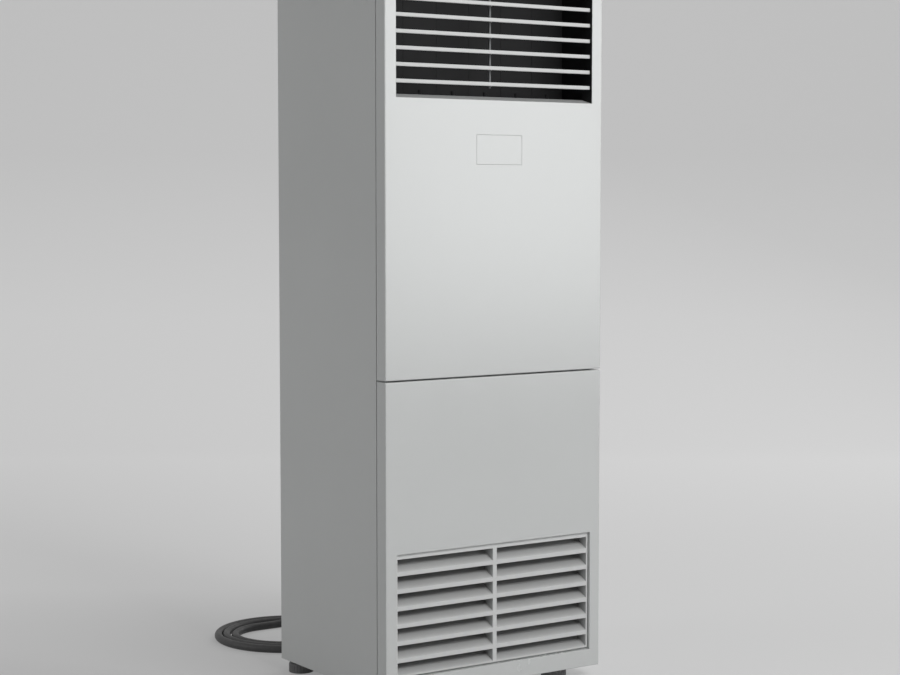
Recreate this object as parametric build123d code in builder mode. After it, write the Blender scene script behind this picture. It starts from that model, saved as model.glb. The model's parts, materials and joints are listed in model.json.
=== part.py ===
from build123d import *
import os
from math import asin, atan2, cos, hypot, pi, radians, sin, tan

# Floor standing air conditioner, indoor unit. Millimetres.
# X runs across the front to the right, Y from the front to the back, Z up from the floor.

# ---------------------------------------------------------------- driving dimensions
width = 600.0
depth = 480.0
height = 1850.0
foot_height = 30.0  # floor to the underside of the casing
sheet = 1.5  # casing steel
pan_sheet = 2.0  # base pan steel
fold = 2.0  # outside radius of a pressed edge
clear = 0.3  # between a piece and its seat
running = 0.1  # radial clearance of a pin in its hole

# Front panels: two folded trays, one above the other
tray_depth = 36.5
tray_seam = 2.5  # open seam between a tray and the side panels
split_z = 740.8
split_gap = 3.5
tongue_width = 40.0
tongue_length = 16.0

# Outlet, near the top
outlet_side = 29.0  # casing's side to the opening
outlet_down = 49.9  # casing's top to the opening
sill_rise = 9.5  # the folded sill climbs this much on its way in
blade_count = 11
blade_pitch = 36.1
blade_margin = 36.8  # edge of the opening to the middle of the nearest blade
blade_recess = 7.5
blade_nose = 9.5
blade_tail = 4.0
blade_chord = 18.0
blade_gap = 1.2  # blade end to the frame
blade_pin = 2.5  # radius
blade_pin_length = 6.2
blade_pivot_in = 7.5  # nose to pivot
link_arm = 16.2  # blade pivot to link pin
link_width = 4.0
link_depth = 5.0
link_pin = 1.5  # radius
lug_thickness = 3.0
frame_wall = 8.0
frame_rail = 5.0

# Upright vanes behind the blades: at rest they lie closed, edge to edge
duct_wall = 3.0
duct_length = 158.2
vane_count = 6
vane_gap = 1.0  # outlet's side to the edge of a closed vane
vane_seam = 0.5  # between the edges of closed vanes
vane_front_in = 115.0  # front of the casing to the closed vanes
vane_thickness = 2.4
vane_pin = 2.5  # radius
vane_boss = 5.0  # radius
tie_arm = 28.0  # vane pivot to tie pin
tie_angle = 27.0  # the arm's angle behind the closed vane, so the linkage never lies in line
tie_pin = 2.0  # radius
tie_boss = 4.5  # radius
tie_height = 5.0
tie_width = 8.0

# Blank cover plate in the upper panel
cover_left = -57.0
cover_width = 126.0
cover_down = 145.0  # outlet's lower edge to the plate's
cover_height = 67.2
cover_groove = 0.3

# Intake, near the floor
intake_side = 28.3  # casing's side to the opening
intake_low = 71.2
intake_high = 353.0
intake_flange = 20.0
grille_gap = 1.7
grille_low_gap = 1.5
grille_high_gap = 1.5
grille_draft = 1.4  # drop of the grille's top face on its way in, to clear the opening as it tilts
grille_recess = 7.0
grille_depth = 40.0
grille_side = 4.5
grille_bottom = 5.0
grille_top = 10.7
mullion = 11.0
bar_count = 6
bar_height = 9.5
bar_thickness = 5.0
bar_pitch = 39.28
bar_first_top = 116.0
slat_angle = 28.0
slat_thickness = 2.3
grille_pin = 2.5  # radius
grille_pivot_in = 14.0  # front of the casing to the grille's pins
grille_pivot_up = 9.8  # edge of the opening to the grille's pins
grille_corner = 4.5
filter_thickness = 6.0
filter_border = 10.0
filter_inset = 12.0

# Casing
return_width = 15.0  # front fold of a side panel
hem = 5.5  # rear hem of a side panel
rear_return = 17.0
rear_inset = 4.0  # rear edge of the casing back to the rear panel's seat
rear_split = 608.0  # between the lower and the upper rear panel, halfway between two rows of screws
rear_seam = 1.0
base_rim = 40.0
top_rim = 25.0
rail_height = 24.0
rail_depth = 15.0
front_foot_in = (90.0, 60.0)  # casing's side and front to a front foot's axis
rear_foot_in = (35.0, 35.0)  # casing's side and back to a rear foot's axis
foot_radius = 30.0
foot_high = 23.0  # height of the pad
foot_chamfer = 4.0
collar_radius = 14.0
stud_radius = 6.0
stud_top = 26.0  # underside of the base pan to the stud's end
nut_hex = 11.0  # half across flats of the welded nut
nut_high = 12.0
screw_radius = 2.0
screw_head = 4.0  # radius
screw_head_high = 2.1
screw_reach = 5.0  # rear panel's seat to a screw's end
screw_rows = 6
screw_margin = 80.0  # casing's end to the first screw
bracket_spacing = 400.0  # anti-tip bracket holes
bracket_hole = 2.75
bracket_down = 60.0

# Air side
fan_z = 290.0
wheel_radius = width / 4
wheel_width = 140.0
wheel_blades = 32
shaft_radius = 8.0
inlet_lap = 32.0  # wheel's edge in to the inlet's edge
bell_radius = 12.0
scroll_gap = 25.0  # wheel's edge to the scroll's first arc, from the arc's own middle
scroll_step = 22.0
scroll_in = 61.2  # front of the inner pieces to the scroll
scroll_width = 166.0
tongue_share = 0.4  # of the wheel's radius
tongue_round = 12.0
deck_z = 640.0
deck_rim = 15.0
deck_margin = 16.0  # round the pipes where they pass the deck
motor_radius = 75.0
motor_gap = 12.0  # scroll to motor
motor_length = 90.0
motor_flange = 108.0
bracket_plate = 3.0
post_circle = 92.0  # radius of the circle of the bracket's posts
post_radius = 7.0
hub_radius = 22.0
hub_length = 36.0
shaft_nut = 12.0  # half across flats

# Control box, in front of the scroll's neck
control_side = 65.0  # casing's right side to the box
control_width = 385.0
control_drop = 22.0  # deck to the box
control_height = 156.0
board_margin = 20.0
board_thickness = 1.6
board_post = 6.0  # length of the posts behind the board
relay_count = 4
relay_pitch = 24.0

# Heat exchanger and services
pan_low = 800.0
pan_height = 42.0
pan_wall = 2.5
pan_in = 7.2  # front of the inner pieces to the drain pan
pan_depth = 112.0
coil_length = 585.0
coil_thickness = 60.0
coil_side = 82.0  # casing's side to the fins
coil_foot_in = 49.2  # front of the inner pieces to the middle of the coil's foot
coil_top_gap = 9.5  # coil's top to the rear lining
coil_tube = 4.8
bend_radius = 12.7
bend_pitch = 50.8
bend_first = 60.0
bend_count = 10
pipe_side = 45.0  # casing's side to the pipes
gas_radius = 9.525
liquid_radius = 4.76
gas_exit_z = 165.0
liquid_exit_z = 115.0
pipe_end_in = 11.0  # rear panel to the pipes' ends
entry_in = 22.0  # pipes' axis to the rear opening's right and lower edges
entry_out = 27.0  # pipes' axis to the rear opening's left and upper edges
gas_thread = 13.5  # radius of the flare union's thread
liquid_thread = 7.94
thread_length = 18.0
union_hex = 10.0
fin_count = 73
fin_thickness = 1.0
drain_side = 60.0  # casing's side to the drain
drain_in = 92.0  # drain pan's front to the drain
drain_exit_z = 130.0
drain_radius = 13.0
drain_bore = 10.5
liner = 6.0
liner_low = 860.0
liner_down = 90.0  # casing's top to the lining
liner_back_gap = 3.5  # behind the lining, for the screws' ends

# Supply cable: heavy rubber cable, its coil on the floor behind the left side
cable_d = 20.0
cable_x = 23.0
cable_z = 95.0
coil_x = -120.5
coil_y = 545.0
coil_pitch = 20.8
coil_first = 110.0  # radius of the innermost quarter turn
coil_second = 137.2  # radius of the quarter turn after it
coil_quarters = 10
gland_thread = 12.0  # radius
gland_hex = 16.5  # half across flats
gland_hex_high = 6.0
gland_collar = 16.0  # rear panel to the start of the strain relief's taper
gland_length = 44.5
sleeve_wall = 1.5  # strain relief's wall at its end
plug_radius = 26.0
plug_x = 145.0  # where the cable enters the plug
plug_y = 322.0
plug_length = 112.0
plug_mouth = 26.0  # depth of the shroud round the pins
plug_pin_circle = 12.0  # radius
plug_pin = 3.0  # radius

# ---------------------------------------------------------------- derived places
left, right = -width / 2, width / 2
front, back = -depth / 2, depth / 2
casing_low = foot_height
tray_back = front + tray_depth
side_front = tray_back + tray_seam
upper_low = split_z + split_gap / 2
lower_high = split_z - split_gap / 2
inner_half = width / 2 - sheet - clear  # half width of what stands between the side panels
inner_front = side_front + sheet + clear
rear_seat = back - rear_inset  # front face of the rear panel
inner_back = rear_seat - sheet - clear
base_low = casing_low + sheet
outlet_half = width / 2 - outlet_side
outlet_high = height - outlet_down
outlet_low = outlet_high - 2 * blade_margin - (blade_count - 1) * blade_pitch
cover_low = outlet_low - cover_down
intake_half = width / 2 - intake_side
duct_low = outlet_low + sill_rise
duct_high = outlet_high - sill_rise
blade_z = [outlet_low + blade_margin + i * blade_pitch for i in range(blade_count)]
blade_front = front + blade_recess
blade_pivot_y = blade_front + blade_pivot_in
blade_half = outlet_half - blade_gap
link_y = blade_pivot_y + link_arm
duct_back = tray_back + clear + duct_length
vane_pitch = (2 * outlet_half - 2 * vane_gap) / vane_count
vane_x = [(i - (vane_count - 1) / 2) * vane_pitch for i in range(vane_count)]
vane_front = front + vane_front_in
vane_y = vane_front + vane_thickness / 2
tie_shift = tie_arm * cos(radians(tie_angle))
tie_y = vane_y + tie_arm * sin(radians(tie_angle))
foot_x, foot_y = width / 2 - front_foot_in[0], depth / 2 - front_foot_in[1]
rear_foot_x, rear_foot_y = width / 2 - rear_foot_in[0], depth / 2 - rear_foot_in[1]
foot_places = {
    "front_left": (-foot_x, -foot_y),
    "front_right": (foot_x, -foot_y),
    "rear_left": (-rear_foot_x, rear_foot_y),
    "rear_right": (rear_foot_x, rear_foot_y),
}
inlet_radius = wheel_radius - inlet_lap
scroll_radius = wheel_radius + scroll_gap
scroll_front = inner_front + scroll_in
scroll_back = scroll_front + scroll_width
wheel_front = scroll_front + 14
tongue_x = wheel_radius * tongue_share
motor_front = scroll_back + motor_gap
pan_front = inner_front + pan_in
pan_back = pan_front + pan_depth
liner_back = inner_back - liner_back_gap
liner_high = height - liner_down
coil_half = width / 2 - coil_side
coil_foot_y = inner_front + coil_foot_in
pipe_x = width / 2 - pipe_side
pipe_end_y = rear_seat - pipe_end_in
drain_x = drain_side - width / 2
drain_y = pan_front + drain_in
grille_front = front + grille_recess
grille_back = grille_front + grille_depth
grille_half = intake_half - grille_gap
grille_low = intake_low + grille_low_gap
grille_high = intake_high - grille_high_gap
grille_pivot_y = front + grille_pivot_in
grille_pivot_z = intake_low + grille_pivot_up
screw_x = width / 2 - sheet * 2 - rear_return / 2
screw_step = (height - casing_low - 2 * screw_margin) / (screw_rows - 1)
screw_z = [casing_low + screw_margin + i * screw_step for i in range(screw_rows)]

os.makedirs("parts", exist_ok=True)


# ---------------------------------------------------------------- the leaning coil
plate_half = coil_thickness / 2 + 3
coil_reach = liner_back - liner - coil_top_gap - coil_foot_y
lean = asin(coil_reach / hypot(coil_length, plate_half)) - atan2(plate_half, coil_length)
pan_floor = pan_low + pan_wall
along = (sin(lean), cos(lean))  # up the coil, as (y, z)
outward = (cos(lean), -sin(lean))  # across the coil, down and back
coil_foot_z = pan_floor + clear + plate_half * sin(lean)


def coil_point(up, out):
    """The (y, z) of a point on the coil: up its slope, and out across its thickness."""
    return (
        coil_foot_y + up * along[0] + out * outward[0],
        coil_foot_z + up * along[1] + out * outward[1],
    )


gas_top = coil_point(bend_first + 7.8 * bend_pitch, 0)
gas_turn = coil_point(bend_first + 2.1 * bend_pitch, 0)
liquid_start = coil_point(bend_first + 1.5 * bend_pitch, 0)


# ---------------------------------------------------------------- helpers
def block(x, y, z, mode=Mode.ADD):
    """A block between the limits in x, y and z, each a pair."""
    with Locations(((x[0] + x[1]) / 2, (y[0] + y[1]) / 2, (z[0] + z[1]) / 2)):
        Box(x[1] - x[0], y[1] - y[0], z[1] - z[0], mode=mode)


def rod_x(y, z, x, radius, mode=Mode.ADD):
    """A round rod or hole along X, between the limits in x."""
    with Locations(((x[0] + x[1]) / 2, y, z)):
        Cylinder(radius, x[1] - x[0], rotation=(0, 90, 0), mode=mode)


def rod_y(x, z, y, radius, mode=Mode.ADD):
    """A round rod or hole along Y, between the limits in y."""
    with Locations((x, (y[0] + y[1]) / 2, z)):
        Cylinder(radius, y[1] - y[0], rotation=(90, 0, 0), mode=mode)


def rod_z(x, y, z, radius, mode=Mode.ADD):
    """A round rod or hole along Z, between the limits in z."""
    with Locations((x, y, (z[0] + z[1]) / 2)):
        Cylinder(radius, z[1] - z[0], mode=mode)


def facing(y, x=0.0, z=0.0):
    """An upright plane at depth y: local x is X, local y is Z, and an extrusion comes forwards."""
    return Plane(origin=(x, y, z), x_dir=(1, 0, 0), z_dir=(0, -1, 0))


def across(x):
    """An upright plane at x: local x is Y, local y is Z, and an extrusion goes to the right."""
    return Plane.YZ.offset(x)


def save(piece, name):
    """Label a finished piece and write it out."""
    piece.part.label = name
    export_step(piece.part, f"parts/{name}.step")


# ---------------------------------------------------------------- front panels
with BuildPart() as front_upper_panel:
    block((left, right), (front, tray_back), (upper_low, height))
    fillet(front_upper_panel.faces().sort_by(Axis.Y)[0].edges(), fold)
    block(
        (left + sheet, right - sheet),
        (front + sheet, tray_back),
        (upper_low + sheet, height - sheet),
        Mode.SUBTRACT,
    )
    block((-outlet_half, outlet_half), (front, front + sheet), (outlet_low, outlet_high), Mode.SUBTRACT)
    with BuildSketch(across(clear - outlet_half)):
        for edge, way in ((outlet_low, 1), (outlet_high, -1)):
            Polygon(
                (front, edge),
                (tray_back, edge + way * sill_rise),
                (tray_back, edge + way * (sill_rise - sheet)),
                (front, edge - way * sheet),
                align=None,
            )
    extrude(amount=2 * (outlet_half - clear))
    block(
        (cover_left, cover_left + cover_width),
        (front, front + sheet),
        (cover_low, cover_low + cover_height),
        Mode.SUBTRACT,
    )
    for side in (-1, 1):
        tongue_end = side * (width / 2 - return_width - clear)
        tongue = sorted((tongue_end, tongue_end - side * tongue_width))
        block(tongue, (tray_back, tray_back + tongue_length), (upper_low, upper_low + sheet))

with BuildPart() as front_lower_panel:
    block((left, right), (front, tray_back), (casing_low, lower_high))
    fillet(front_lower_panel.faces().sort_by(Axis.Y)[0].edges(), fold)
    block(
        (left + sheet, right - sheet),
        (front + sheet, tray_back),
        (casing_low + sheet, lower_high - sheet),
        Mode.SUBTRACT,
    )
    block(
        (-intake_half - sheet, intake_half + sheet),
        (front + sheet, front + intake_flange),
        (intake_low - sheet, intake_high + sheet),
    )
    flange_y = (front, front + intake_flange)
    block((-intake_half, intake_half), flange_y, (intake_low, intake_high), Mode.SUBTRACT)
    grille_pin_end = intake_half + sheet + 1.0
    pin_x = (-grille_pin_end, grille_pin_end)
    rod_x(grille_pivot_y, grille_pivot_z, pin_x, grille_pin + running, Mode.SUBTRACT)
    for side in (-1, 1):
        tongue_end = side * (width / 2 - return_width - clear)
        tongue = sorted((tongue_end, tongue_end - side * tongue_width))
        block(tongue, (tray_back, tray_back + tongue_length), (casing_low, casing_low + sheet))

with BuildPart() as display_cover:
    block(
        (cover_left + cover_groove, cover_left + cover_width - cover_groove),
        (front, front + sheet),
        (cover_low + cover_groove, cover_low + cover_height - cover_groove),
    )
    block(
        (cover_left - 4, cover_left + cover_width + 4),
        (front + sheet, front + sheet + 2),
        (cover_low - 4, cover_low + cover_height + 4),
    )

# ---------------------------------------------------------------- side, rear and top panels
with BuildPart() as left_side_panel:
    side_z = (casing_low, height - sheet)
    block((left, left + sheet), (side_front, back), side_z)
    block((left, left + return_width), (side_front, side_front + sheet), side_z)
    block((left + sheet, left + 2 * sheet), (back - hem, back), side_z)
    block((left + 2 * sheet, left + 2 * sheet + rear_return), (rear_seat - sheet, rear_seat), side_z)
    for z in screw_z:
        rod_y(-screw_x, z, (rear_seat - sheet, rear_seat), screw_radius + clear, Mode.SUBTRACT)

with BuildPart() as right_side_panel:
    mirror(left_side_panel.part, about=Plane.YZ)

rear_half = width / 2 - 2 * sheet - clear
rear_y = (rear_seat, rear_seat + sheet)


def rear_sheet(z):
    """A rear panel between two heights, with the holes for the screws that it takes."""
    with BuildPart() as panel:
        block((-rear_half, rear_half), rear_y, z)
        for row in screw_z:
            if z[0] < row < z[1]:
                for x in (-screw_x, screw_x):
                    rod_y(x, row, rear_y, screw_radius + clear, Mode.SUBTRACT)
    return panel


rear_panel = rear_sheet((rear_split + rear_seam / 2, height - sheet))
with rear_panel:
    for x in (-bracket_spacing / 2, bracket_spacing / 2):
        rod_y(x, height - bracket_down, rear_y, bracket_hole, Mode.SUBTRACT)

lower_rear_panel = rear_sheet((casing_low, rear_split - rear_seam / 2))
with lower_rear_panel:
    rod_y(cable_x, cable_z, rear_y, gland_thread + clear, Mode.SUBTRACT)
    rod_y(drain_x, drain_exit_z, rear_y, drain_radius + clear, Mode.SUBTRACT)
    block(
        (pipe_x - entry_out, pipe_x + entry_in),
        rear_y,
        (liquid_exit_z - entry_in, gas_exit_z + entry_out),
        Mode.SUBTRACT,
    )

with BuildPart() as rear_panel_screws:
    for z in screw_z:
        for x in (-screw_x, screw_x):
            rod_y(x, z, (rear_seat + sheet, rear_seat + sheet + screw_head_high), screw_head)
            rod_y(x, z, (rear_seat - screw_reach, rear_seat + sheet), screw_radius)

with BuildPart() as top_panel:
    block((left, right), (side_front, back), (height - sheet, height))
    block((-inner_half, inner_half), (inner_front, inner_back), (height - top_rim, height - sheet))
    block(
        (sheet - inner_half, inner_half - sheet),
        (inner_front + sheet, inner_back - sheet),
        (height - top_rim, height - sheet),
        Mode.SUBTRACT,
    )

# ---------------------------------------------------------------- base, feet and cross rail
with BuildPart() as base_pan:
    block((-inner_half, inner_half), (inner_front, inner_back), (base_low, base_low + base_rim))
    block(
        (pan_sheet - inner_half, inner_half - pan_sheet),
        (inner_front + pan_sheet, inner_back - pan_sheet),
        (base_low + pan_sheet, base_low + base_rim),
        Mode.SUBTRACT,
    )
    with BuildSketch(Plane.XY.offset(base_low + pan_sheet)):
        with Locations(*foot_places.values()):
            RegularPolygon(nut_hex, 6, major_radius=False)
    extrude(amount=nut_high)
    with Locations(*foot_places.values()):
        Cylinder(stud_radius + running, 4 * base_low, mode=Mode.SUBTRACT)


def levelling_foot(x, y):
    """A turned foot: rubber-shod pad, collar and threaded stud, revolved about its own upright axis."""
    collar_top = base_low - clear
    with BuildPart() as foot:
        with BuildSketch(facing(y, x)):
            Polygon(
                (0, 0),
                (foot_radius - 1.5, 0),
                (foot_radius, 1.5),
                (foot_radius, foot_high - foot_chamfer),
                (foot_radius - foot_chamfer, foot_high),
                (collar_radius, foot_high),
                (collar_radius, collar_top),
                (stud_radius, collar_top),
                (stud_radius, base_low + stud_top),
                (0, base_low + stud_top),
                align=None,
            )
        revolve(axis=Axis((x, y, 0), (0, 0, 1)))
    return foot


with BuildPart() as cross_rail:
    rail_y = (inner_front - clear, inner_front - clear + rail_depth)
    block((-inner_half, inner_half), rail_y, (upper_low - rail_height, upper_low))
    block(
        (-inner_half, inner_half),
        (rail_y[0] + sheet, rail_y[1]),
        (upper_low - rail_height + sheet, upper_low - sheet),
        Mode.SUBTRACT,
    )

# ---------------------------------------------------------------- outlet: frame, blades and link bar
with BuildPart() as blade_frame:
    frame_half = outlet_half + frame_wall
    frame_low = outlet_low - frame_wall
    frame_high = outlet_high + frame_wall
    for side in (-1, 1):
        strip = sorted((side * outlet_half, side * frame_half))
        block(strip, (front + sheet, tray_back), (frame_low, frame_high))
    block((-frame_half, frame_half), (tray_back - 11, tray_back), (frame_low, frame_low + frame_rail))
    block((-frame_half, frame_half), (tray_back - 11, tray_back), (frame_high - frame_rail, frame_high))
    for z in blade_z:
        rod_x(blade_pivot_y, z, (-frame_half, frame_half), blade_pin + running, Mode.SUBTRACT)


def outlet_blade(z):
    """One blade: tapered section with a rounded nose, a pin at each end and a lug for the link bar."""
    with BuildPart() as blade:
        with BuildSketch(across(-blade_half)) as section:
            Polygon(
                (blade_front, z - blade_nose / 2),
                (blade_front + blade_chord, z - blade_tail / 2),
                (blade_front + blade_chord, z + blade_tail / 2),
                (blade_front, z + blade_nose / 2),
                align=None,
            )
            fillet(section.vertices().sort_by(Axis.X)[:2], 2.0)
        extrude(amount=2 * blade_half)
        for side in (-1, 1):
            pin = sorted((side * blade_half, side * (blade_half + blade_pin_length)))
            rod_x(blade_pivot_y, z, pin, blade_pin)
        lug_x = link_width / 2 + clear
        with BuildSketch(across(lug_x)):
            with Locations((link_y, z)):
                Circle(3.6)
            with Locations((link_y - 4.5, z)):
                Rectangle(9.0, 4.4)
        extrude(amount=lug_thickness)
        rod_x(link_y, z, (lug_x, lug_x + lug_thickness), link_pin + running, Mode.SUBTRACT)
    return blade


with BuildPart() as blade_link_bar:
    link_z = (blade_z[0] - 8, blade_z[-1] + 8)
    block((-link_width / 2, link_width / 2), (link_y - link_depth / 2, link_y + link_depth / 2), link_z)
    for z in blade_z:
        rod_x(link_y, z, (link_width / 2, link_width / 2 + clear + lug_thickness), link_pin)

# ---------------------------------------------------------------- outlet duct, vanes and their drive
with BuildPart() as outlet_duct:
    duct_y = (tray_back + clear, duct_back)
    outer_half = outlet_half + duct_wall
    outer_z = (duct_low - duct_wall, duct_high + duct_wall)
    block((-outer_half, outer_half), duct_y, outer_z)
    block((-inner_half, inner_half), (inner_front, inner_front + sheet), outer_z)
    block((-outlet_half, outlet_half), duct_y, (duct_low, duct_high), Mode.SUBTRACT)
    for x in vane_x:
        rod_z(x, vane_y, outer_z, vane_pin + running, Mode.SUBTRACT)

vane_low = duct_low + 5
vane_high = duct_high - 14
tie_boss_low = vane_high - 4
tie_boss_high = vane_high + 4.5
motor_pin = 14.0  # how far the driven vane's pin goes below the duct


def swing_vane(x, pin_down):
    """One upright vane with its pivot bosses and pins, and an arm on top for the tie bar's pin."""
    with BuildPart() as vane:
        reach = (vane_pitch - vane_seam) / 2
        block((x - reach, x + reach), (vane_front, vane_front + vane_thickness), (vane_low, vane_high))
        rod_z(x, vane_y, (duct_low + clear, vane_low + 10), vane_boss)
        rod_z(x, vane_y, (vane_high - 10, duct_high - clear), vane_boss)
        rod_z(x, vane_y, (duct_low - pin_down, vane_low), vane_pin)
        rod_z(x, vane_y, (vane_high, duct_high + duct_wall + 1), vane_pin)
        with BuildSketch(Plane.XY.offset(tie_boss_low)):
            with Locations((x, vane_y), (x + tie_shift, tie_y)):
                Circle(tie_boss)
            with Locations(Location(((x + x + tie_shift) / 2, (vane_y + tie_y) / 2), tie_angle)):
                Rectangle(tie_arm, tie_boss)
        extrude(amount=tie_boss_high - tie_boss_low)
        rod_z(x + tie_shift, tie_y, (tie_boss_low, tie_boss_high), tie_pin + running, Mode.SUBTRACT)
    return vane


with BuildPart() as vane_tie_bar:
    bar_low = tie_boss_high + clear
    block(
        (vane_x[0] + tie_shift - tie_width, vane_x[-1] + tie_shift + tie_width),
        (tie_y - tie_width / 2, tie_y + tie_width / 2),
        (bar_low, bar_low + tie_height),
    )
    for x in vane_x:
        rod_z(x + tie_shift, tie_y, (tie_boss_low, bar_low), tie_pin)

with BuildPart() as swing_motor:
    motor_top = duct_low - duct_wall
    rod_z(vane_x[0], vane_y, (motor_top - 20, motor_top), 14.0)
    block((vane_x[0] - 21, vane_x[0] + 21), (vane_y - 4, vane_y + 4), (motor_top - 2, motor_top))
    rod_z(vane_x[0], vane_y, (duct_low - motor_pin - 1, motor_top), vane_pin + running, Mode.SUBTRACT)

# ---------------------------------------------------------------- intake grille and filter
slat_rise = tan(radians(slat_angle))
slat_drop = slat_thickness / cos(radians(slat_angle))
slat_tops = [grille_low + grille_bottom] + [bar_first_top + i * bar_pitch for i in range(bar_count)]

with BuildPart() as intake_grille:
    block((-grille_half, grille_half), (grille_front, grille_back), (grille_low, grille_high))
    with BuildSketch(across(-grille_half)):
        Polygon(
            (grille_front + 6, grille_high),
            (grille_back, grille_high),
            (grille_back, grille_high - grille_draft),
            align=None,
        )
    extrude(amount=2 * grille_half, mode=Mode.SUBTRACT)
    low_edge = intake_grille.faces().sort_by(Axis.Y)[0].edges().sort_by(Axis.Z)[0]
    fillet(low_edge, grille_corner)
    block(
        (grille_side - grille_half, grille_half - grille_side),
        (grille_front, grille_back),
        (grille_low + grille_bottom, grille_high - grille_top),
        Mode.SUBTRACT,
    )
    with BuildSketch(across(grille_side - grille_half)):
        for top in slat_tops:
            bar_low = max(top - bar_height, grille_low + grille_bottom / 2)
            Polygon(
                (grille_front, bar_low),
                (grille_front + bar_thickness, bar_low),
                (grille_front + bar_thickness, top + bar_thickness * slat_rise - slat_drop),
                (grille_back, top + grille_depth * slat_rise - slat_drop),
                (grille_back, top + grille_depth * slat_rise),
                (grille_front, top),
                align=None,
            )
    extrude(amount=2 * (grille_half - grille_side))
    mullion_z = (grille_low + grille_bottom, grille_high - grille_top)
    block((-mullion / 2, mullion / 2), (grille_front, grille_back), mullion_z)
    pin_out = intake_half + sheet + 1.0
    rod_x(grille_pivot_y, grille_pivot_z, (-pin_out, -grille_half + grille_side), grille_pin)
    rod_x(grille_pivot_y, grille_pivot_z, (grille_half - grille_side, pin_out), grille_pin)

with BuildPart() as air_filter:
    filter_half = grille_half - filter_inset
    filter_z = (grille_low + filter_inset, grille_high - filter_inset + 4.7)
    filter_y = (grille_back, grille_back + filter_thickness)
    block((-filter_half, filter_half), filter_y, filter_z)
    block(
        (filter_border - filter_half, filter_half - filter_border),
        filter_y,
        (filter_z[0] + filter_border, filter_z[1] - filter_border),
        Mode.SUBTRACT,
    )
    for x in (-filter_half / 2, 0, filter_half / 2):
        block((x - 2, x + 2), filter_y, filter_z)
    net_y = (filter_y[0] + 2.6, filter_y[0] + 3.4)
    block((1 - filter_half, filter_half - 1), net_y, (filter_z[0] + 1, filter_z[1] - 1))

# ---------------------------------------------------------------- blower
wheel_back = wheel_front + wheel_width


def scroll_face(inset, top):
    """The scroll's outline about the fan axis: three quarter arcs, each a step larger, then a straight neck."""
    half_step = scroll_step / 2
    middles = ((-half_step, -half_step), (half_step, -half_step), (half_step, half_step))
    arcs = [scroll_radius + i * scroll_step - inset for i in range(3)]
    with BuildSketch() as outline:
        with BuildLine():
            for i, (middle, radius) in enumerate(zip(middles, arcs)):
                CenterArc(middle, radius, 90 + 90 * i, 90)
            start = (middles[0][0], middles[0][1] + arcs[0])
            end = (middles[2][0] + arcs[2], middles[2][1])
            Polyline(end, (end[0], top), (tongue_x + inset, top), (tongue_x + inset, start[1]), start)
        make_face()
        corner = outline.vertices().sort_by_distance((tongue_x + inset, start[1]))[0]
        fillet(corner, tongue_round + inset)
    return outline.sketch


neck_top = deck_z - fan_z

with BuildPart() as fan_scroll:
    with BuildSketch(facing(scroll_back, z=fan_z)):
        add(scroll_face(0, neck_top))
    extrude(amount=scroll_back - scroll_front)
    with BuildSketch(facing(scroll_back - sheet, z=fan_z)):
        add(scroll_face(sheet, neck_top + 5))
    extrude(amount=scroll_back - scroll_front, mode=Mode.SUBTRACT)
    rod_y(0, fan_z, (scroll_back - sheet, scroll_back), 30.0, Mode.SUBTRACT)

with BuildPart() as fan_inlet_plate:
    with BuildSketch(facing(scroll_front, z=fan_z)):
        add(scroll_face(0, neck_top))
        Circle(inlet_radius + bell_radius, mode=Mode.SUBTRACT)
    extrude(amount=sheet)
    bell_y = scroll_front - sheet + bell_radius
    bell_z = fan_z + inlet_radius + bell_radius
    thin = bell_radius - sheet
    with BuildSketch(across(0)):
        with BuildLine():
            CenterArc((bell_y, bell_z), bell_radius, 180, 90)
            Line((bell_y, bell_z - bell_radius), (bell_y, bell_z - thin))
            CenterArc((bell_y, bell_z), thin, 180, 90)
            Line((bell_y - thin, bell_z), (bell_y - bell_radius, bell_z))
        make_face()
    revolve(axis=Axis((0, 0, fan_z), (0, 1, 0)))

with BuildPart() as blower_wheel:
    wheel_arc = ThreePointArc((wheel_radius - 24, 0), (wheel_radius - 11, 3.5), (wheel_radius - 2, 12))
    with BuildSketch(facing(wheel_back, z=fan_z)):
        with PolarLocations(0, wheel_blades):
            SlotArc(wheel_arc, 1.4)
    extrude(amount=wheel_width)
    with BuildSketch(facing(wheel_back, z=fan_z)):
        Circle(wheel_radius)
    extrude(amount=2.0)
    with BuildSketch(facing(wheel_back, z=fan_z)):
        Circle(hub_radius)
    extrude(amount=hub_length)
    with BuildSketch(facing(wheel_front + 6, z=fan_z)):
        Circle(wheel_radius + 1)
        Circle(wheel_radius - 5, mode=Mode.SUBTRACT)
    extrude(amount=6.0)
    rod_y(0, fan_z, (wheel_back - hub_length, wheel_back), shaft_radius + running / 2, Mode.SUBTRACT)

motor_back = motor_front + motor_length
flange_front = motor_front + 15  # front of the motor's own flange

with BuildPart() as motor_shaft:
    rod_y(0, fan_z, (wheel_back - hub_length - 10, motor_back - 12), shaft_radius)
    with BuildSketch(facing(wheel_back - hub_length, z=fan_z)):
        RegularPolygon(shaft_nut, 6, major_radius=False)
    extrude(amount=7.0)

with BuildPart() as fan_motor:
    rod_y(0, fan_z, (motor_front, motor_back), motor_radius)
    fillet(fan_motor.edges().filter_by(GeomType.CIRCLE), 8.0)
    rod_y(0, fan_z, (flange_front, flange_front + bracket_plate), motor_flange)
    rod_y(0, fan_z, (motor_front, motor_back - 10), shaft_radius + running, Mode.SUBTRACT)

with BuildPart() as motor_bracket:
    plate_y = (flange_front - bracket_plate, flange_front)
    rod_y(0, fan_z, plate_y, motor_flange)
    rod_y(0, fan_z, plate_y, motor_radius + clear, Mode.SUBTRACT)
    for angle in (45, 135, 225, 315):
        post_x = post_circle * cos(radians(angle))
        post_z = fan_z + post_circle * sin(radians(angle))
        rod_y(post_x, post_z, (scroll_back, plate_y[0]), post_radius)

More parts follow.
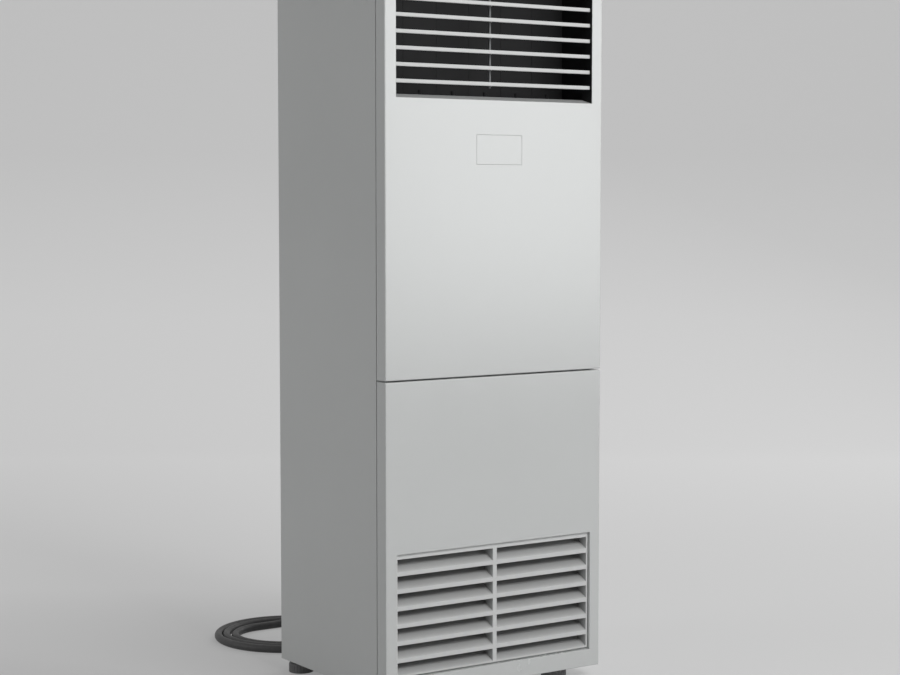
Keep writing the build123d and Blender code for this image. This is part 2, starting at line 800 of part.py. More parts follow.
with BuildPart() as fan_deck:
    block((-inner_half, inner_half), (inner_front, inner_back), (deck_z - deck_rim, deck_z + sheet))
    block(
        (sheet - inner_half, inner_half - sheet),
        (inner_front + sheet, inner_back - sheet),
        (deck_z - deck_rim, deck_z),
        Mode.SUBTRACT,
    )
    neck_right = scroll_step / 2 + scroll_radius + 2 * scroll_step - sheet
    neck_y = (scroll_front, scroll_back - sheet)
    block((tongue_x + sheet, neck_right), neck_y, (deck_z, deck_z + sheet), Mode.SUBTRACT)
    block(
        (pipe_x - deck_margin, pipe_x + deck_margin),
        (liquid_start[0] - deck_margin, gas_turn[0] + deck_margin),
        (deck_z, deck_z + sheet),
        Mode.SUBTRACT,
    )
    rod_z(drain_x, drain_y, (deck_z, deck_z + sheet), drain_radius + clear, Mode.SUBTRACT)

# ---------------------------------------------------------------- evaporator, drain and pipes
with BuildPart() as evaporator_coil:
    half = coil_thickness / 2
    with BuildSketch(Plane(origin=(0, *coil_point(0, 0)), x_dir=(1, 0, 0), z_dir=(0, *along))):
        with GridLocations(2 * coil_half / (fin_count - 1), 0, fin_count, 1):
            Rectangle(fin_thickness, coil_thickness)
        Rectangle(2 * coil_half, 4.0)
    extrude(amount=coil_length)
    for x in (-coil_half - 2, coil_half):
        with BuildSketch(across(x)):
            Polygon(
                coil_point(0, -plate_half),
                coil_point(0, plate_half),
                coil_point(coil_length, plate_half),
                coil_point(coil_length, -plate_half),
                align=None,
            )
        extrude(amount=2.0)
    for side in (-1, 1):
        face_x = side * (coil_half + 2)
        for row in (-half / 2, half / 2):
            for i in range(bend_count):
                middle = coil_point(bend_first + i * bend_pitch, row)
                tube = coil_point(bend_first + i * bend_pitch + bend_radius, row)
                with BuildSketch(Plane(origin=(face_x, *tube), x_dir=(0, 1, 0), z_dir=(1, 0, 0))):
                    Circle(coil_tube)
                bend_axis = Axis((face_x, *middle), (0, side * outward[0], side * outward[1]))
                revolve(axis=bend_axis, revolution_arc=180)

with BuildPart() as drain_pan:
    block((-inner_half, inner_half), (pan_front, pan_back), (pan_low, pan_low + pan_height))
    block(
        (pan_wall - inner_half, inner_half - pan_wall),
        (pan_front + pan_wall, pan_back - pan_wall),
        (pan_floor, pan_low + pan_height),
        Mode.SUBTRACT,
    )
    rod_z(drain_x, drain_y, (pan_low, pan_floor), drain_bore, Mode.SUBTRACT)


def flare_union(x, z, thread):
    """The hexagon and the threaded end of a flare union, behind a pipe's end."""
    with Locations(facing(pipe_end_y, x, z)):
        Cylinder(thread, thread_length, align=(Align.CENTER, Align.CENTER, Align.MIN))
    with Locations((x, pipe_end_y - thread_length - union_hex / 2, z)):
        Box(2.3 * thread, union_hex, 2.3 * thread)


def pipe(points, radii, outer, inner=0.0):
    """A tube of round section carried along straight runs and arcs, hollow where it has an inner radius."""
    with BuildPart() as tube:
        with BuildLine() as route:
            FilletPolyline(*points, radius=radii)
        path = route.wire()
        with BuildSketch(Plane(origin=path @ 0, z_dir=path % 0)):
            Circle(outer)
            if inner:
                Circle(inner, mode=Mode.SUBTRACT)
        sweep(path=path)
    share = tube.part.volume / (pi * (outer**2 - inner**2) * path.length)
    print(f"tube of radius {outer:.2f}: {path.length:.1f} long, volume over section times length {share:.4f}")
    return tube


drain_pipe = pipe(
    (
        (drain_x, drain_y, pan_low),
        (drain_x, drain_y, drain_exit_z),
        (drain_x, rear_seat + sheet + 2, drain_exit_z),
    ),
    [35.0],
    drain_radius,
    drain_bore,
)

gas_pipe = pipe(
    (
        (pipe_x, *gas_top),
        (pipe_x, *gas_turn),
        (pipe_x, gas_turn[0], gas_exit_z),
        (pipe_x, pipe_end_y - thread_length, gas_exit_z),
    ),
    [60.0, 38.0],
    gas_radius,
)
with gas_pipe:
    for place in (3.5, 5.5, 7.5):
        stub = coil_point(bend_first + place * bend_pitch, 0)
        rod_x(stub[0], stub[1], (coil_half + 2, pipe_x), 5.5)
    flare_union(pipe_x, gas_exit_z, gas_thread)

liquid_pipe = pipe(
    (
        (coil_half + 2, *liquid_start),
        (pipe_x, *liquid_start),
        (pipe_x, liquid_start[0], liquid_exit_z),
        (pipe_x, pipe_end_y - thread_length, liquid_exit_z),
    ),
    [15.0, 30.0],
    liquid_radius,
)
with liquid_pipe:
    flare_union(pipe_x, liquid_exit_z, liquid_thread)

with BuildPart() as insulation_liner:
    liner_half = width / 2 - sheet
    block((-liner_half, liner_half), (inner_front, liner_back), (liner_low, liner_high))
    block(
        (liner - liner_half, liner_half - liner),
        (inner_front, liner_back - liner),
        (liner_low, liner_high),
        Mode.SUBTRACT,
    )
    for side in (-1, 1):
        relief = sorted((side * (outlet_half + duct_wall), side * liner_half))
        block(relief, (inner_front, inner_front + sheet + 1), (outer_z[0] - 1, liner_high), Mode.SUBTRACT)

# ---------------------------------------------------------------- control box
box_x = (width / 2 - control_side - control_width, width / 2 - control_side)
box_y = (inner_front + 4.2, scroll_front - sheet)
box_z = (deck_z - control_drop - control_height, deck_z - control_drop)

with BuildPart() as control_box:
    block(box_x, box_y, box_z)
    block(
        (box_x[0] + sheet, box_x[1] - sheet),
        (box_y[0], box_y[1] - sheet),
        (box_z[0] + sheet, box_z[1] - sheet),
        Mode.SUBTRACT,
    )
    entry = (box_x[0] + 40, (box_y[0] + box_y[1]) / 2)
    rod_z(*entry, (box_z[0], box_z[0] + sheet), cable_d / 2 + 1, Mode.SUBTRACT)

with BuildPart() as control_box_cover:
    block(box_x, (box_y[0] - sheet, box_y[0]), box_z)
    with Locations(facing(box_y[0] - sheet, (box_x[0] + box_x[1]) / 2, (box_z[0] + box_z[1]) / 2)):
        with GridLocations(box_x[1] - box_x[0] - 24, box_z[1] - box_z[0] - 24, 2, 2):
            Cylinder(4.0, 2.0, align=(Align.CENTER, Align.CENTER, Align.MIN))

with BuildPart() as circuit_board:
    board_back = box_y[1] - sheet - board_post
    board_front = board_back - board_thickness
    board_x = (box_x[0] + board_margin, box_x[1] - board_margin)
    board_z = (box_z[0] + board_margin, box_z[1] - board_margin)
    block(board_x, (board_front, board_back), board_z)
    for x in (board_x[0] + 8, board_x[1] - 8):
        for z in (board_z[0] + 8, board_z[1] - 8):
            rod_y(x, z, (board_back, box_y[1] - sheet), 4.0)
    block((board_x[1] - 90, board_x[1] - 20), (board_front - 24, board_front), (board_z[0] + 14, board_z[0] + 44))
    block((board_x[0] + 20, board_x[0] + 70), (board_front - 32, board_front), (board_z[1] - 60, board_z[1] - 14))
    rod_y(board_x[0] + 130, board_z[0] + 60, (board_front - 36, board_front), 17.0)
    for i in range(relay_count):
        relay_x = board_x[0] + 170 + i * relay_pitch
        block((relay_x, relay_x + 18), (board_front - 15, board_front), (board_z[1] - 40, board_z[1] - 14))

# ---------------------------------------------------------------- supply cable
cable_r = cable_d / 2
panel_back = rear_seat + sheet
gland_end = panel_back + gland_length

with BuildPart() as cable_gland:
    rod_y(cable_x, cable_z, (rear_seat - gland_hex_high, panel_back), gland_thread)
    with BuildSketch(facing(rear_seat, cable_x, cable_z)):
        RegularPolygon(gland_hex, 6, major_radius=False)
    extrude(amount=gland_hex_high)
    with BuildSketch(facing(panel_back + gland_hex_high, cable_x, cable_z)):
        RegularPolygon(gland_hex, 6, major_radius=False)
    extrude(amount=gland_hex_high)
    with BuildSketch(across(cable_x)):
        Polygon(
            (panel_back + gland_hex_high, cable_z),
            (panel_back + gland_hex_high, cable_z + cable_r + 5.5),
            (panel_back + gland_collar, cable_z + cable_r + 5),
            (gland_end, cable_z + cable_r + sleeve_wall),
            (gland_end, cable_z),
            align=None,
        )
    revolve(axis=Axis((cable_x, 0, cable_z), (0, 1, 0)))


def bend_radii(name, points):
    """The largest arc at each corner that leaves a tenth of the shorter run straight."""
    corners = [Vector(*p) for p in points]
    radii = []
    for before, here, after in zip(corners, corners[1:], corners[2:]):
        turn = (here - before).get_angle(after - here)
        run = min((here - before).length, (after - here).length)
        radii.append(0.45 * run / tan(radians(turn / 2)))
    print(f"{name}: arc radii {[round(r) for r in radii]}")
    return radii


# The lead leaves the gland, drops over the outer turns and comes round inside them on to the floor.
land_y = coil_y + coil_first
lead_points = (
    (cable_x, gland_end, cable_z),
    (cable_x, 352, 95),
    (cable_x, 445, 33),
    (cable_x, 574, 32),
    (-6.5, 625.5, 26),
    (-57.5, land_y, cable_r),
    (-122.5, land_y, cable_r),
)
cable_lead = pipe(lead_points, bend_radii("cable lead", lead_points), cable_r)


def coil_line():
    """The coil's centre line: straight start, quarter arcs that grow by a quarter pitch, straight end."""
    step = coil_pitch / 4
    first_middle = (coil_x + step - coil_second + coil_first, coil_y)
    middles = [first_middle]
    arcs = [coil_first]
    place = (coil_x + step, coil_y)
    shifts = ((0, step), (-step, 0), (0, -step), (step, 0))
    for i in range(coil_quarters - 1):
        middles.append(place)
        arcs.append(coil_second + i * step)
        place = (place[0] + shifts[i % 4][0], place[1] + shifts[i % 4][1])
    start = (first_middle[0], coil_y + coil_first)
    with BuildLine(Plane.XY.offset(cable_r)) as line:
        Line((start[0] + cable_d, start[1]), start)
        for i, (middle, radius) in enumerate(zip(middles, arcs)):
            CenterArc(middle, radius, 90 + 90 * i, 90)
        end = (middles[-1][0], middles[-1][1] - arcs[-1])
        Line(end, (end[0] + cable_d, end[1]))
    return line.wire(), (start[0] + cable_d, start[1]), (end[0] + cable_d, end[1])


coil_path, coil_start, coil_end = coil_line()
with BuildPart() as cable_coil:
    with BuildSketch(Plane(origin=coil_path @ 0, z_dir=coil_path % 0)):
        Circle(cable_r)
    sweep(path=coil_path)

# Least gap of the coil to itself, measured on points that are at least half a turn apart along it.
samples = 400
spots = [coil_path @ (i / samples) for i in range(samples + 1)]
half_turn = int(samples * pi * coil_first / coil_path.length)
least = min(
    (spots[i] - spots[j]).length
    for i in range(samples + 1)
    for j in range(i + half_turn, samples + 1)
)
print(f"coil: {coil_path.length:.0f} long, from {coil_start} to {coil_end}")
print(f"coil: least gap to itself {least - cable_d:.2f}")

tail_points = (
    (*coil_end, cable_r),
    (-35, coil_end[1], cable_r),
    (25, 350, cable_r),
    (85, plug_y, plug_radius),
    (plug_x, plug_y, plug_radius),
)
cable_tail = pipe(tail_points, bend_radii("cable tail", tail_points), cable_r)

with BuildPart() as supply_plug:
    plug_end = plug_x + plug_length
    with BuildSketch(facing(plug_y, plug_x, plug_radius)):
        Polygon(
            (0, 0),
            (0, cable_r + sleeve_wall),
            (28, plug_radius - 11),
            (30, plug_radius - 5),
            (58, plug_radius - 2.5),
            (plug_length - 30, plug_radius - 2.5),
            (plug_length - 28, plug_radius),
            (plug_length, plug_radius),
            (plug_length, 0),
            align=None,
        )
    revolve(axis=Axis((0, plug_y, plug_radius), (1, 0, 0)))
    rod_x(plug_y, plug_radius, (plug_end - plug_mouth, plug_end), plug_radius - 2.5, Mode.SUBTRACT)
    for angle in (90, 210, 330):
        pin_y = plug_y + plug_pin_circle * cos(radians(angle))
        pin_z = plug_radius + plug_pin_circle * sin(radians(angle))
        rod_x(pin_y, pin_z, (plug_end - plug_mouth - 2, plug_end - 4), plug_pin)

# ---------------------------------------------------------------- write the pieces
save(front_upper_panel, "front_upper_panel")
save(front_lower_panel, "front_lower_panel")
save(display_cover, "display_cover")
save(left_side_panel, "left_side_panel")
save(right_side_panel, "right_side_panel")
save(rear_panel, "rear_panel")
save(lower_rear_panel, "lower_rear_panel")
save(rear_panel_screws, "rear_panel_screws")
save(top_panel, "top_panel")
save(base_pan, "base_pan")
save(cross_rail, "cross_rail")
for corner, (x, y) in foot_places.items():
    save(levelling_foot(x, y), f"levelling_foot_{corner}")
save(blade_frame, "blade_frame")
for i, z in enumerate(blade_z):
    save(outlet_blade(z), f"outlet_blade_{i + 1:02d}")
save(blade_link_bar, "blade_link_bar")
save(outlet_duct, "outlet_duct")
for i, x in enumerate(vane_x):
    save(swing_vane(x, motor_pin if i == 0 else duct_wall + 1), f"swing_vane_{i + 1}")
save(vane_tie_bar, "vane_tie_bar")
save(swing_motor, "swing_motor")
save(intake_grille, "intake_grille")
save(air_filter, "air_filter")
save(fan_scroll, "fan_scroll")
save(fan_inlet_plate, "fan_inlet_plate")
save(blower_wheel, "blower_wheel")
save(motor_shaft, "motor_shaft")
save(fan_motor, "fan_motor")
save(motor_bracket, "motor_bracket")
save(fan_deck, "fan_deck")
save(evaporator_coil, "evaporator_coil")
save(drain_pan, "drain_pan")
save(drain_pipe, "drain_pipe")
save(gas_pipe, "gas_pipe")
save(liquid_pipe, "liquid_pipe")
save(insulation_liner, "insulation_liner")
save(control_box, "control_box")
save(control_box_cover, "control_box_cover")
save(circuit_board, "circuit_board")
save(cable_gland, "cable_gland")
save(cable_lead, "cable_lead")
save(cable_coil, "cable_coil")
save(cable_tail, "cable_tail")
save(supply_plug, "supply_plug")
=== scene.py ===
# %% [markdown]
# # A floor standing air conditioner
# The unit is a tall steel cabinet. Its outlet blades are near the top, its intake grille is near the floor,
# and a heavy supply cable lies coiled behind its left side.
# The CAD model gives every piece its place and size. This lesson gives the pieces their look: first the
# camera and the cable, then the small pieces whose shape needs more than the CAD solids hold, then a finish
# for every material of the object, and last the backdrop and the light.

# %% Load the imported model
import json
from math import cos, pi, radians, sin

import bmesh
import bpy
import numpy as np
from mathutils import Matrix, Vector

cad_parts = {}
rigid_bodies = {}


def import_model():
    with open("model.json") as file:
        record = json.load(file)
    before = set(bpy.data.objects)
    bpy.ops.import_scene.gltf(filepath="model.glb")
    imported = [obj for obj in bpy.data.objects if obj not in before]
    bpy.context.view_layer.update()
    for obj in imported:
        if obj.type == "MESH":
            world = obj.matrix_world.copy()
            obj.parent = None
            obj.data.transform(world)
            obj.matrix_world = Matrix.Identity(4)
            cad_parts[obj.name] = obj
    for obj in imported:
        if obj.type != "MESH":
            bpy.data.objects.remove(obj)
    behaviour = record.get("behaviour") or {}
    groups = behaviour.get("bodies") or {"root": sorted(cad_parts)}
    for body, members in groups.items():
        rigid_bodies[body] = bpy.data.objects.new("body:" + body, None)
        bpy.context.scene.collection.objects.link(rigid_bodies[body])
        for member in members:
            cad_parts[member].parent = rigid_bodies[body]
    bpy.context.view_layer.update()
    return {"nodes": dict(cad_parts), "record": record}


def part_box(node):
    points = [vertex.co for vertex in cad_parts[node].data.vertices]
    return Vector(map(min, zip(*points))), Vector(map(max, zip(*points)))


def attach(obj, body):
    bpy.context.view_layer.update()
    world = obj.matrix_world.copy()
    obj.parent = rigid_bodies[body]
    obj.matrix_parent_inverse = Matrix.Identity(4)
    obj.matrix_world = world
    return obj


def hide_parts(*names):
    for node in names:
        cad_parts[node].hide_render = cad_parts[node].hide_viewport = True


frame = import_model()
scene = bpy.context.scene

# %% [markdown]
# ## Camera
# The photograph was taken with a long lens from the front left, a little above the middle of the cabinet.
# The place and the turn come from the cabinet's own edges in the picture, so nothing is shifted or cropped.
# All lengths are in metres. The lengths that are easier to say in millimetres carry the unit MM.

# %% Camera
MM = 0.001
VIEW_TURN = radians(-33.85)
VIEW_DIP = 4.13  # degrees below level
LENS, SENSOR = 77.64, 36.0  # millimetres
CAMERA_PLACE = (-2.551, -3.851, 1.1468)
camera_data = bpy.data.cameras.new("camera")
camera = bpy.data.objects.new("camera", camera_data)
scene.collection.objects.link(camera)
camera_data.sensor_fit = "HORIZONTAL"
camera_data.sensor_width = SENSOR
camera_data.lens = LENS
camera.location = CAMERA_PLACE
camera.rotation_euler = (radians(90 - VIEW_DIP), 0, VIEW_TURN)
scene.camera = camera
print("camera", tuple(round(v, 3) for v in camera.location))

# %% [markdown]
# ## Surfaces from arrays
# Every new piece here is a grid of points worked out at once with numpy: rows along the piece and columns
# round it. Four neighbours make a face. A piece may be several such grids in one mesh.
# Welding closes the poles, where a whole row of points meets in one place, and the normals are then turned
# outwards. Edges sharper than an angle are marked, so a flat stays crisp and a round stays smooth.


# %% Grids
WELD, SHARP_ANGLE = 1e-6, 35  # metres, and degrees between two faces


def grid_faces(rows, columns, wrap_rows=False, wrap_columns=False):
    """Quads between neighbours of a grid of points, row by row, joined round where asked."""
    r = np.arange(rows if wrap_rows else rows - 1)
    c = np.arange(columns if wrap_columns else columns - 1)
    r, c = (a.ravel() for a in np.meshgrid(r, c, indexing="ij"))
    r2, c2 = (r + 1) % rows, (c + 1) % columns
    return np.stack([r * columns + c, r * columns + c2, r2 * columns + c2, r2 * columns + c], axis=1)


def skin(points, wrap_rows=False, ends=False):
    """A grid (rows, columns, 3) closed round in its columns. ends puts a flat face on the first and the last
    row."""
    rows, columns = points.shape[:2]
    faces = grid_faces(rows, columns, wrap_rows, True).tolist()
    if ends:
        last = (rows - 1) * columns
        faces += [list(range(columns))[::-1], list(range(last, last + columns))]
    return points.reshape(-1, 3), faces


def piece_from(name, grids, body="casing", slot=None):
    """One object from several grids. Each grid's faces count on from the points of the grids before it."""
    starts = np.cumsum([0] + [len(points) for points, _ in grids])
    faces = [[i + start for i in face] for start, (_, made) in zip(starts.tolist(), grids) for face in made]
    mesh = bpy.data.meshes.new(name)
    mesh.from_pydata(np.concatenate([points for points, _ in grids]).tolist(), [], faces)
    work = bmesh.new()
    work.from_mesh(mesh)
    bmesh.ops.remove_doubles(work, verts=work.verts, dist=WELD)
    bmesh.ops.recalc_face_normals(work, faces=work.faces)
    work.to_mesh(mesh)
    work.free()
    mesh.polygons.foreach_set("use_smooth", np.ones(len(mesh.polygons), bool))
    mesh.set_sharp_from_angle(angle=radians(SHARP_ANGLE))
    piece = bpy.data.objects.new(name, mesh)
    scene.collection.objects.link(piece)
    if slot:
        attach(piece, body)
    print(name, len(mesh.polygons), "faces")
    return piece


def turned(profile, place, axis, turns=64, swell=None):
    """A lathe: (along, radius) pairs in millimetres carried round an axis through a place.
    Each point is place + along * axis + radius * (cos(angle) * one + sin(angle) * two), where one and two
    stand square to the axis. swell(angle, along) multiplies the radius, for flats, ribs and grooves."""
    along, radius = np.asarray(profile, float).T
    angle = np.linspace(0, 2 * pi, turns, endpoint=False)[None, :]
    radius = radius[:, None] * (swell(angle, along[:, None]) if swell else np.ones_like(angle))
    axis = np.asarray(axis, float)
    one = np.roll(axis, 1)
    two = np.cross(axis, one)
    points = along[:, None, None] * axis
    points = points + (radius * np.cos(angle))[..., None] * one + (radius * np.sin(angle))[..., None] * two
    return skin(np.asarray(place, float) + points * MM)


def arc(along, radius, size, first, last, steps=6):
    """Points of a lathe profile on an arc of a size about (along, radius), between two angles in degrees."""
    angle = np.radians(np.linspace(first, last, steps))
    return [(along + size * cos(a), radius + size * sin(a)) for a in angle]


def ramp(value, low, high):
    """0 below low, 1 above high, and a smooth step between."""
    share = np.clip((value - low) / (high - low), 0, 1)
    return share * share * (3 - 2 * share)


# %% [markdown]
# ## The supply cable
# A heavy rubber cable leaves the gland in the rear panel, dips over its own outer turns, comes round inside
# them and lies in a flat coil on the floor. Each quarter turn is an arc. The innermost is the tightest, and
# from the third on, each arc is a quarter of the pitch larger than the one before.
# A curve of order 3 doesn't pass through its control points, it touches the middle of each run between
# them. So the points of a turn stand outside it, by one over the cosine of half a step.

# %% Cable route
CABLE_D = 0.020
PITCH = 0.0208
COIL_X, COIL_Y = -0.1205, 0.545
FIRST_RADIUS = 0.110
SECOND_RADIUS = 0.1372
FIRST_SHIFT = -0.022  # the innermost quarter turn's middle, from the coil's
QUARTERS = 10
STEPS = 4  # control points in each quarter turn

cable_exit = (0.023, 0.282, 0.095)
lead = [
    cable_exit,
    (0.023, 0.352, 0.095),
    (0.023, 0.445, 0.033),
    (0.023, 0.574, 0.032),
    (-0.0065, 0.6255, 0.026),
    (-0.0575, 0.655, 0.010),
    (-0.1225, 0.655, 0.010),
]
tail = [
    (-0.0953, 0.3662, 0.010),
    (-0.035, 0.3662, 0.010),
    (0.025, 0.350, 0.010),
    (0.085, 0.322, 0.026),
    (0.145, 0.322, 0.026),
]


def coil_points():
    """Quarter arc k about its own middle: middle + radius * (cos, sin) of the angle. From the second arc on
    the radius grows with k, and each middle steps aside so that the arcs join without a kink."""
    step = PITCH / 4
    middles = [(COIL_X + FIRST_SHIFT, COIL_Y)]
    radii = [FIRST_RADIUS]
    place = np.array((COIL_X + step, COIL_Y))
    for k in range(QUARTERS - 1):
        middles.append(tuple(place))
        radii.append(SECOND_RADIUS + k * step)
        place = place + step * np.array(((0, 1), (-1, 0), (0, -1), (1, 0))[k % 4])
    k = np.repeat(np.arange(QUARTERS), STEPS)
    part = np.tile((np.arange(STEPS) + 0.5) / STEPS, QUARTERS)
    angle = (1 + k + part) * pi / 2
    reach = np.array(radii)[k] / cos(pi / 4 / STEPS)
    x = np.array(middles)[k, 0] + reach * np.cos(angle)
    y = np.array(middles)[k, 1] + reach * np.sin(angle)
    return [(px, py, CABLE_D / 2) for px, py in zip(x, y)]


route = lead + coil_points() + tail
print("route points", len(route))


# %% Cable line
def smooth_line(name, points):
    """The points of a NURBS curve of order 3 whose control points are given, as Blender works it out."""
    curve = bpy.data.curves.new(name, "CURVE")
    curve.dimensions = "3D"
    curve.resolution_u = 14
    spline = curve.splines.new("NURBS")
    spline.points.add(len(points) - 1)
    for point, place in zip(spline.points, points):
        point.co = (*place, 1.0)
    spline.order_u = 3
    spline.use_endpoint_u = True
    holder = bpy.data.objects.new(name, curve)
    line = bpy.data.meshes.new_from_object(holder)
    made = np.empty(len(line.vertices) * 3)
    line.vertices.foreach_get("co", made)
    bpy.data.objects.remove(holder)
    return made.reshape(-1, 3)


cable_line = smooth_line("cable_line", route)
cable_run = np.concatenate([[0], np.cumsum(np.linalg.norm(np.diff(cable_line, axis=0), axis=1))])
print("cable length", round(float(cable_run[-1]), 3))

# %% [markdown]
# ## A tube with its own map
# Rings and scuffs on a cable follow its length, so the cable is a mesh tube with a UV map: the first
# number runs along the cable in metres, the second goes once round it. Where a face closes the ring, its
# corners in column 0 take 1 instead of 0, so the map doesn't run back over the whole ring there.


# %% Cable tube
def tube(line, radius, sides):
    """Rings round a line: line + radius * (cos(angle) * side + sin(angle) * up). side is level and square to
    the line's direction, and up is square to both."""
    ahead = np.gradient(line, axis=0)
    ahead /= np.linalg.norm(ahead, axis=1, keepdims=True)
    side = np.cross(ahead, (0.0, 0.0, 1.0))
    side /= np.linalg.norm(side, axis=1, keepdims=True)
    up = np.cross(side, ahead)
    angle = np.linspace(0, 2 * pi, sides, endpoint=False)[None, :, None]
    return line[:, None] + radius * (np.cos(angle) * side[:, None] + np.sin(angle) * up[:, None])


CABLE_SIDES = 28
cable = piece_from(
    "supply_cable", [skin(tube(cable_line, CABLE_D / 2, CABLE_SIDES), ends=True)], slot="cable_rubber"
)
cable_map = cable.data.uv_layers.new(name="along_and_round")
corners = np.empty(len(cable.data.loops), dtype=np.int64)
cable.data.loops.foreach_get("vertex_index", corners)
column = corners % CABLE_SIDES
face_columns = [{v % CABLE_SIDES for v in p.vertices} for p in cable.data.polygons]
face_corners = [p.loop_total for p in cable.data.polygons]
closing = [n == 4 and {0, CABLE_SIDES - 1} <= c for n, c in zip(face_corners, face_columns)]
closing = np.repeat(closing, face_corners)
around = np.where(closing & (column == 0), CABLE_SIDES, column) / CABLE_SIDES
cable_map.data.foreach_set("uv", np.stack([cable_run[corners // CABLE_SIDES], around], axis=1).ravel())

# %% [markdown]
# ## Gland and plug
# The gland is a moulded nut and a ringed sleeve that keeps the cable from being bent sharply where it leaves
# the steel. The plug is a moulded body with grip ribs and a shroud round its three pins. Both are turned on a
# lathe, and a swell that depends on the angle makes the nut's flats and the ribs.

# %% Gland
PANEL_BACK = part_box("lower_rear_panel")[1].y / MM
gland_low, gland_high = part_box("cable_gland")
gland_place = (cable_exit[0], 0.0, cable_exit[2])
HEX_FLAT = 16.5  # half across flats
HEX_HIGH = 6.0
NUT_END = PANEL_BACK + HEX_HIGH
HEX_CORNER = 1.1547  # a corner's reach over a flat's
BEVEL, BEVELLED_CORNER = 1.2, 1.06  # how deep the nut's outer face cuts its corners back, and how far
SLEEVE_RINGS = 7


def six_flats(angle, along):
    """One over the cosine of the angle from the nearest flat's middle, cut back at the nut's outer face."""
    flat = 1 / np.cos((angle + pi / 6) % (pi / 3) - pi / 6)
    return np.minimum(flat, np.where(along > NUT_END - BEVEL, BEVELLED_CORNER, HEX_CORNER))


nut_profile = [(PANEL_BACK, 0), (PANEL_BACK, HEX_FLAT), (NUT_END - BEVEL, HEX_FLAT)]
nut_profile += [(NUT_END - 1.1, HEX_FLAT), (NUT_END, HEX_FLAT * 0.97), (NUT_END, 0)]
sleeve_end = gland_high.y / MM
sleeve_along = np.linspace(NUT_END, sleeve_end, 120)
sleeve_share = (sleeve_along - sleeve_along[0]) / (sleeve_along[-1] - sleeve_along[0])
ring = np.cos(2 * pi * (SLEEVE_RINGS + 0.5) * np.clip((sleeve_share - 0.3) / 0.66, 0, 1))
sleeve_radius = 15.2 - 3.7 * ramp(sleeve_share, 0.15, 1.0) - 0.9 * ramp(-ring, 0.1, 0.8)
sleeve_profile = [(sleeve_along[0], 0), *zip(sleeve_along, sleeve_radius)]
sleeve_profile += [(sleeve_end, 10.4), (sleeve_end - 1.5, 10.2), (sleeve_end - 1.5, 0)]
thread_profile = [(gland_low.y / MM, 0), (gland_low.y / MM, 12), (PANEL_BACK, 12), (PANEL_BACK, 0)]
gland = piece_from(
    "moulded_gland",
    [
        turned(nut_profile, gland_place, (0, 1, 0), 96, six_flats),
        turned(sleeve_profile, gland_place, (0, 1, 0)),
        turned(thread_profile, gland_place, (0, 1, 0), 32),
    ],
    slot="black_plastic",
)
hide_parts("cable_gland")

# %% Plug
plug_place = tail[-1]
PLUG_RIBS = 16
NECK, NECK_PITCH = 28, 4.6  # the strain relief's length, and from ring to ring
PIN_CIRCLE = 12


def grip_ribs(angle, along):
    """Ribs along the plug's grip: the radius dips between them, only between the two ends of the grip."""
    grip = ramp(along, 33, 38) * (1 - ramp(along, 74, 79))
    return 1 - 0.035 * grip * ramp(np.cos(PLUG_RIBS * angle), -0.2, 0.5)


neck_along = np.linspace(0, NECK, 60)
neck_groove = ramp(-np.cos(neck_along * 2 * pi / NECK_PITCH), 0.2, 0.8)
neck_radius = 11.5 + 3.5 * neck_along / NECK - 0.8 * neck_groove
plug_profile = [(0, 0), *zip(neck_along, neck_radius), *arc(34, 16.4, 4.6, 175, 95)]
plug_profile += [(along, 21.0 + 2.5 * ramp(along, 33, 58)) for along in np.linspace(35, 80, 30)]
plug_profile += [*arc(85.5, 24.5, 1.5, 170, 90), *arc(110.5, 24.5, 1.5, 90, 0)]
plug_profile += [(112, 23.5), (86, 23.2), (86, 0)]
plug = piece_from(
    "supply_plug_body",
    [turned(plug_profile, plug_place, (1, 0, 0), 96, grip_ribs)],
    slot="black_plastic",
)
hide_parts("supply_plug")
pin_profile = [(84, 0), (84, 3), (106.5, 3), *arc(106.5, 1.5, 1.5, 80, 10, 4), (108, 0)]
pins = piece_from(
    "plug_pins",
    [
        turned(pin_profile, Vector(plug_place) + Vector((0, cos(a), sin(a))) * PIN_CIRCLE * MM, (1, 0, 0), 20)
        for a in np.radians((90, 210, 330))
    ],
    slot="screw_steel",
)

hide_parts("cable_lead", "cable_coil", "cable_tail")

# %% [markdown]
# ## Levelling feet
# Each foot is a moulded pad with a scalloped rim for the fingers. On the real unit its turn lifts a corner
# of the cabinet, and here it only turns. The scallops are a cosine round the rim that fades out towards the
# floor and the upper face.

# %% Feet
SCALLOPS = 24


def finger_rim(angle, along):
    """The rim's radius dips between scallops, only on the side of the pad."""
    side = ramp(along, 4, 6) * (1 - ramp(along, 18, 20))
    return 1 - 0.03 * side * ramp(np.cos(SCALLOPS * angle), -0.3, 0.6)


foot_profile = [(0, 0), (0, 28), *arc(1.5, 28.5, 1.5, 180, 90, 4)]  # the sole
foot_profile += [(4.2, 30), (4.4, 29.4), (5, 29.4), (5.2, 30)]  # a fine groove where the mould parts
foot_profile += [(along, 30) for along in (6, 9, 12, 15, 18)]  # the scalloped side
foot_profile += [(19.2, 30), *arc(19, 26, 4, 80, 10, 5)]
foot_profile += [(23, 22), (21.6, 20), (21.6, 16), (23, 14.5)]  # the upper face and its dish
foot_profile += [(30.6, 14), (31.2, 13.4), (31.2, 6)]  # the neck
foot_profile += [(57.5, 6), (57.5, 0)]  # the stud
for corner in ("front_left", "front_right", "rear_left", "rear_right"):
    low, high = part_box(f"levelling_foot_{corner}")
    foot_place = ((low.x + high.x) / 2, (low.y + high.y) / 2, low.z)
    foot = piece_from(
        f"scalloped_foot_{corner}",
        [turned(foot_profile, foot_place, (0, 0, 1), 144, finger_rim)],
        body=f"foot_{corner}",
        slot="foot_plastic",
    )
    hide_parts(f"levelling_foot_{corner}")

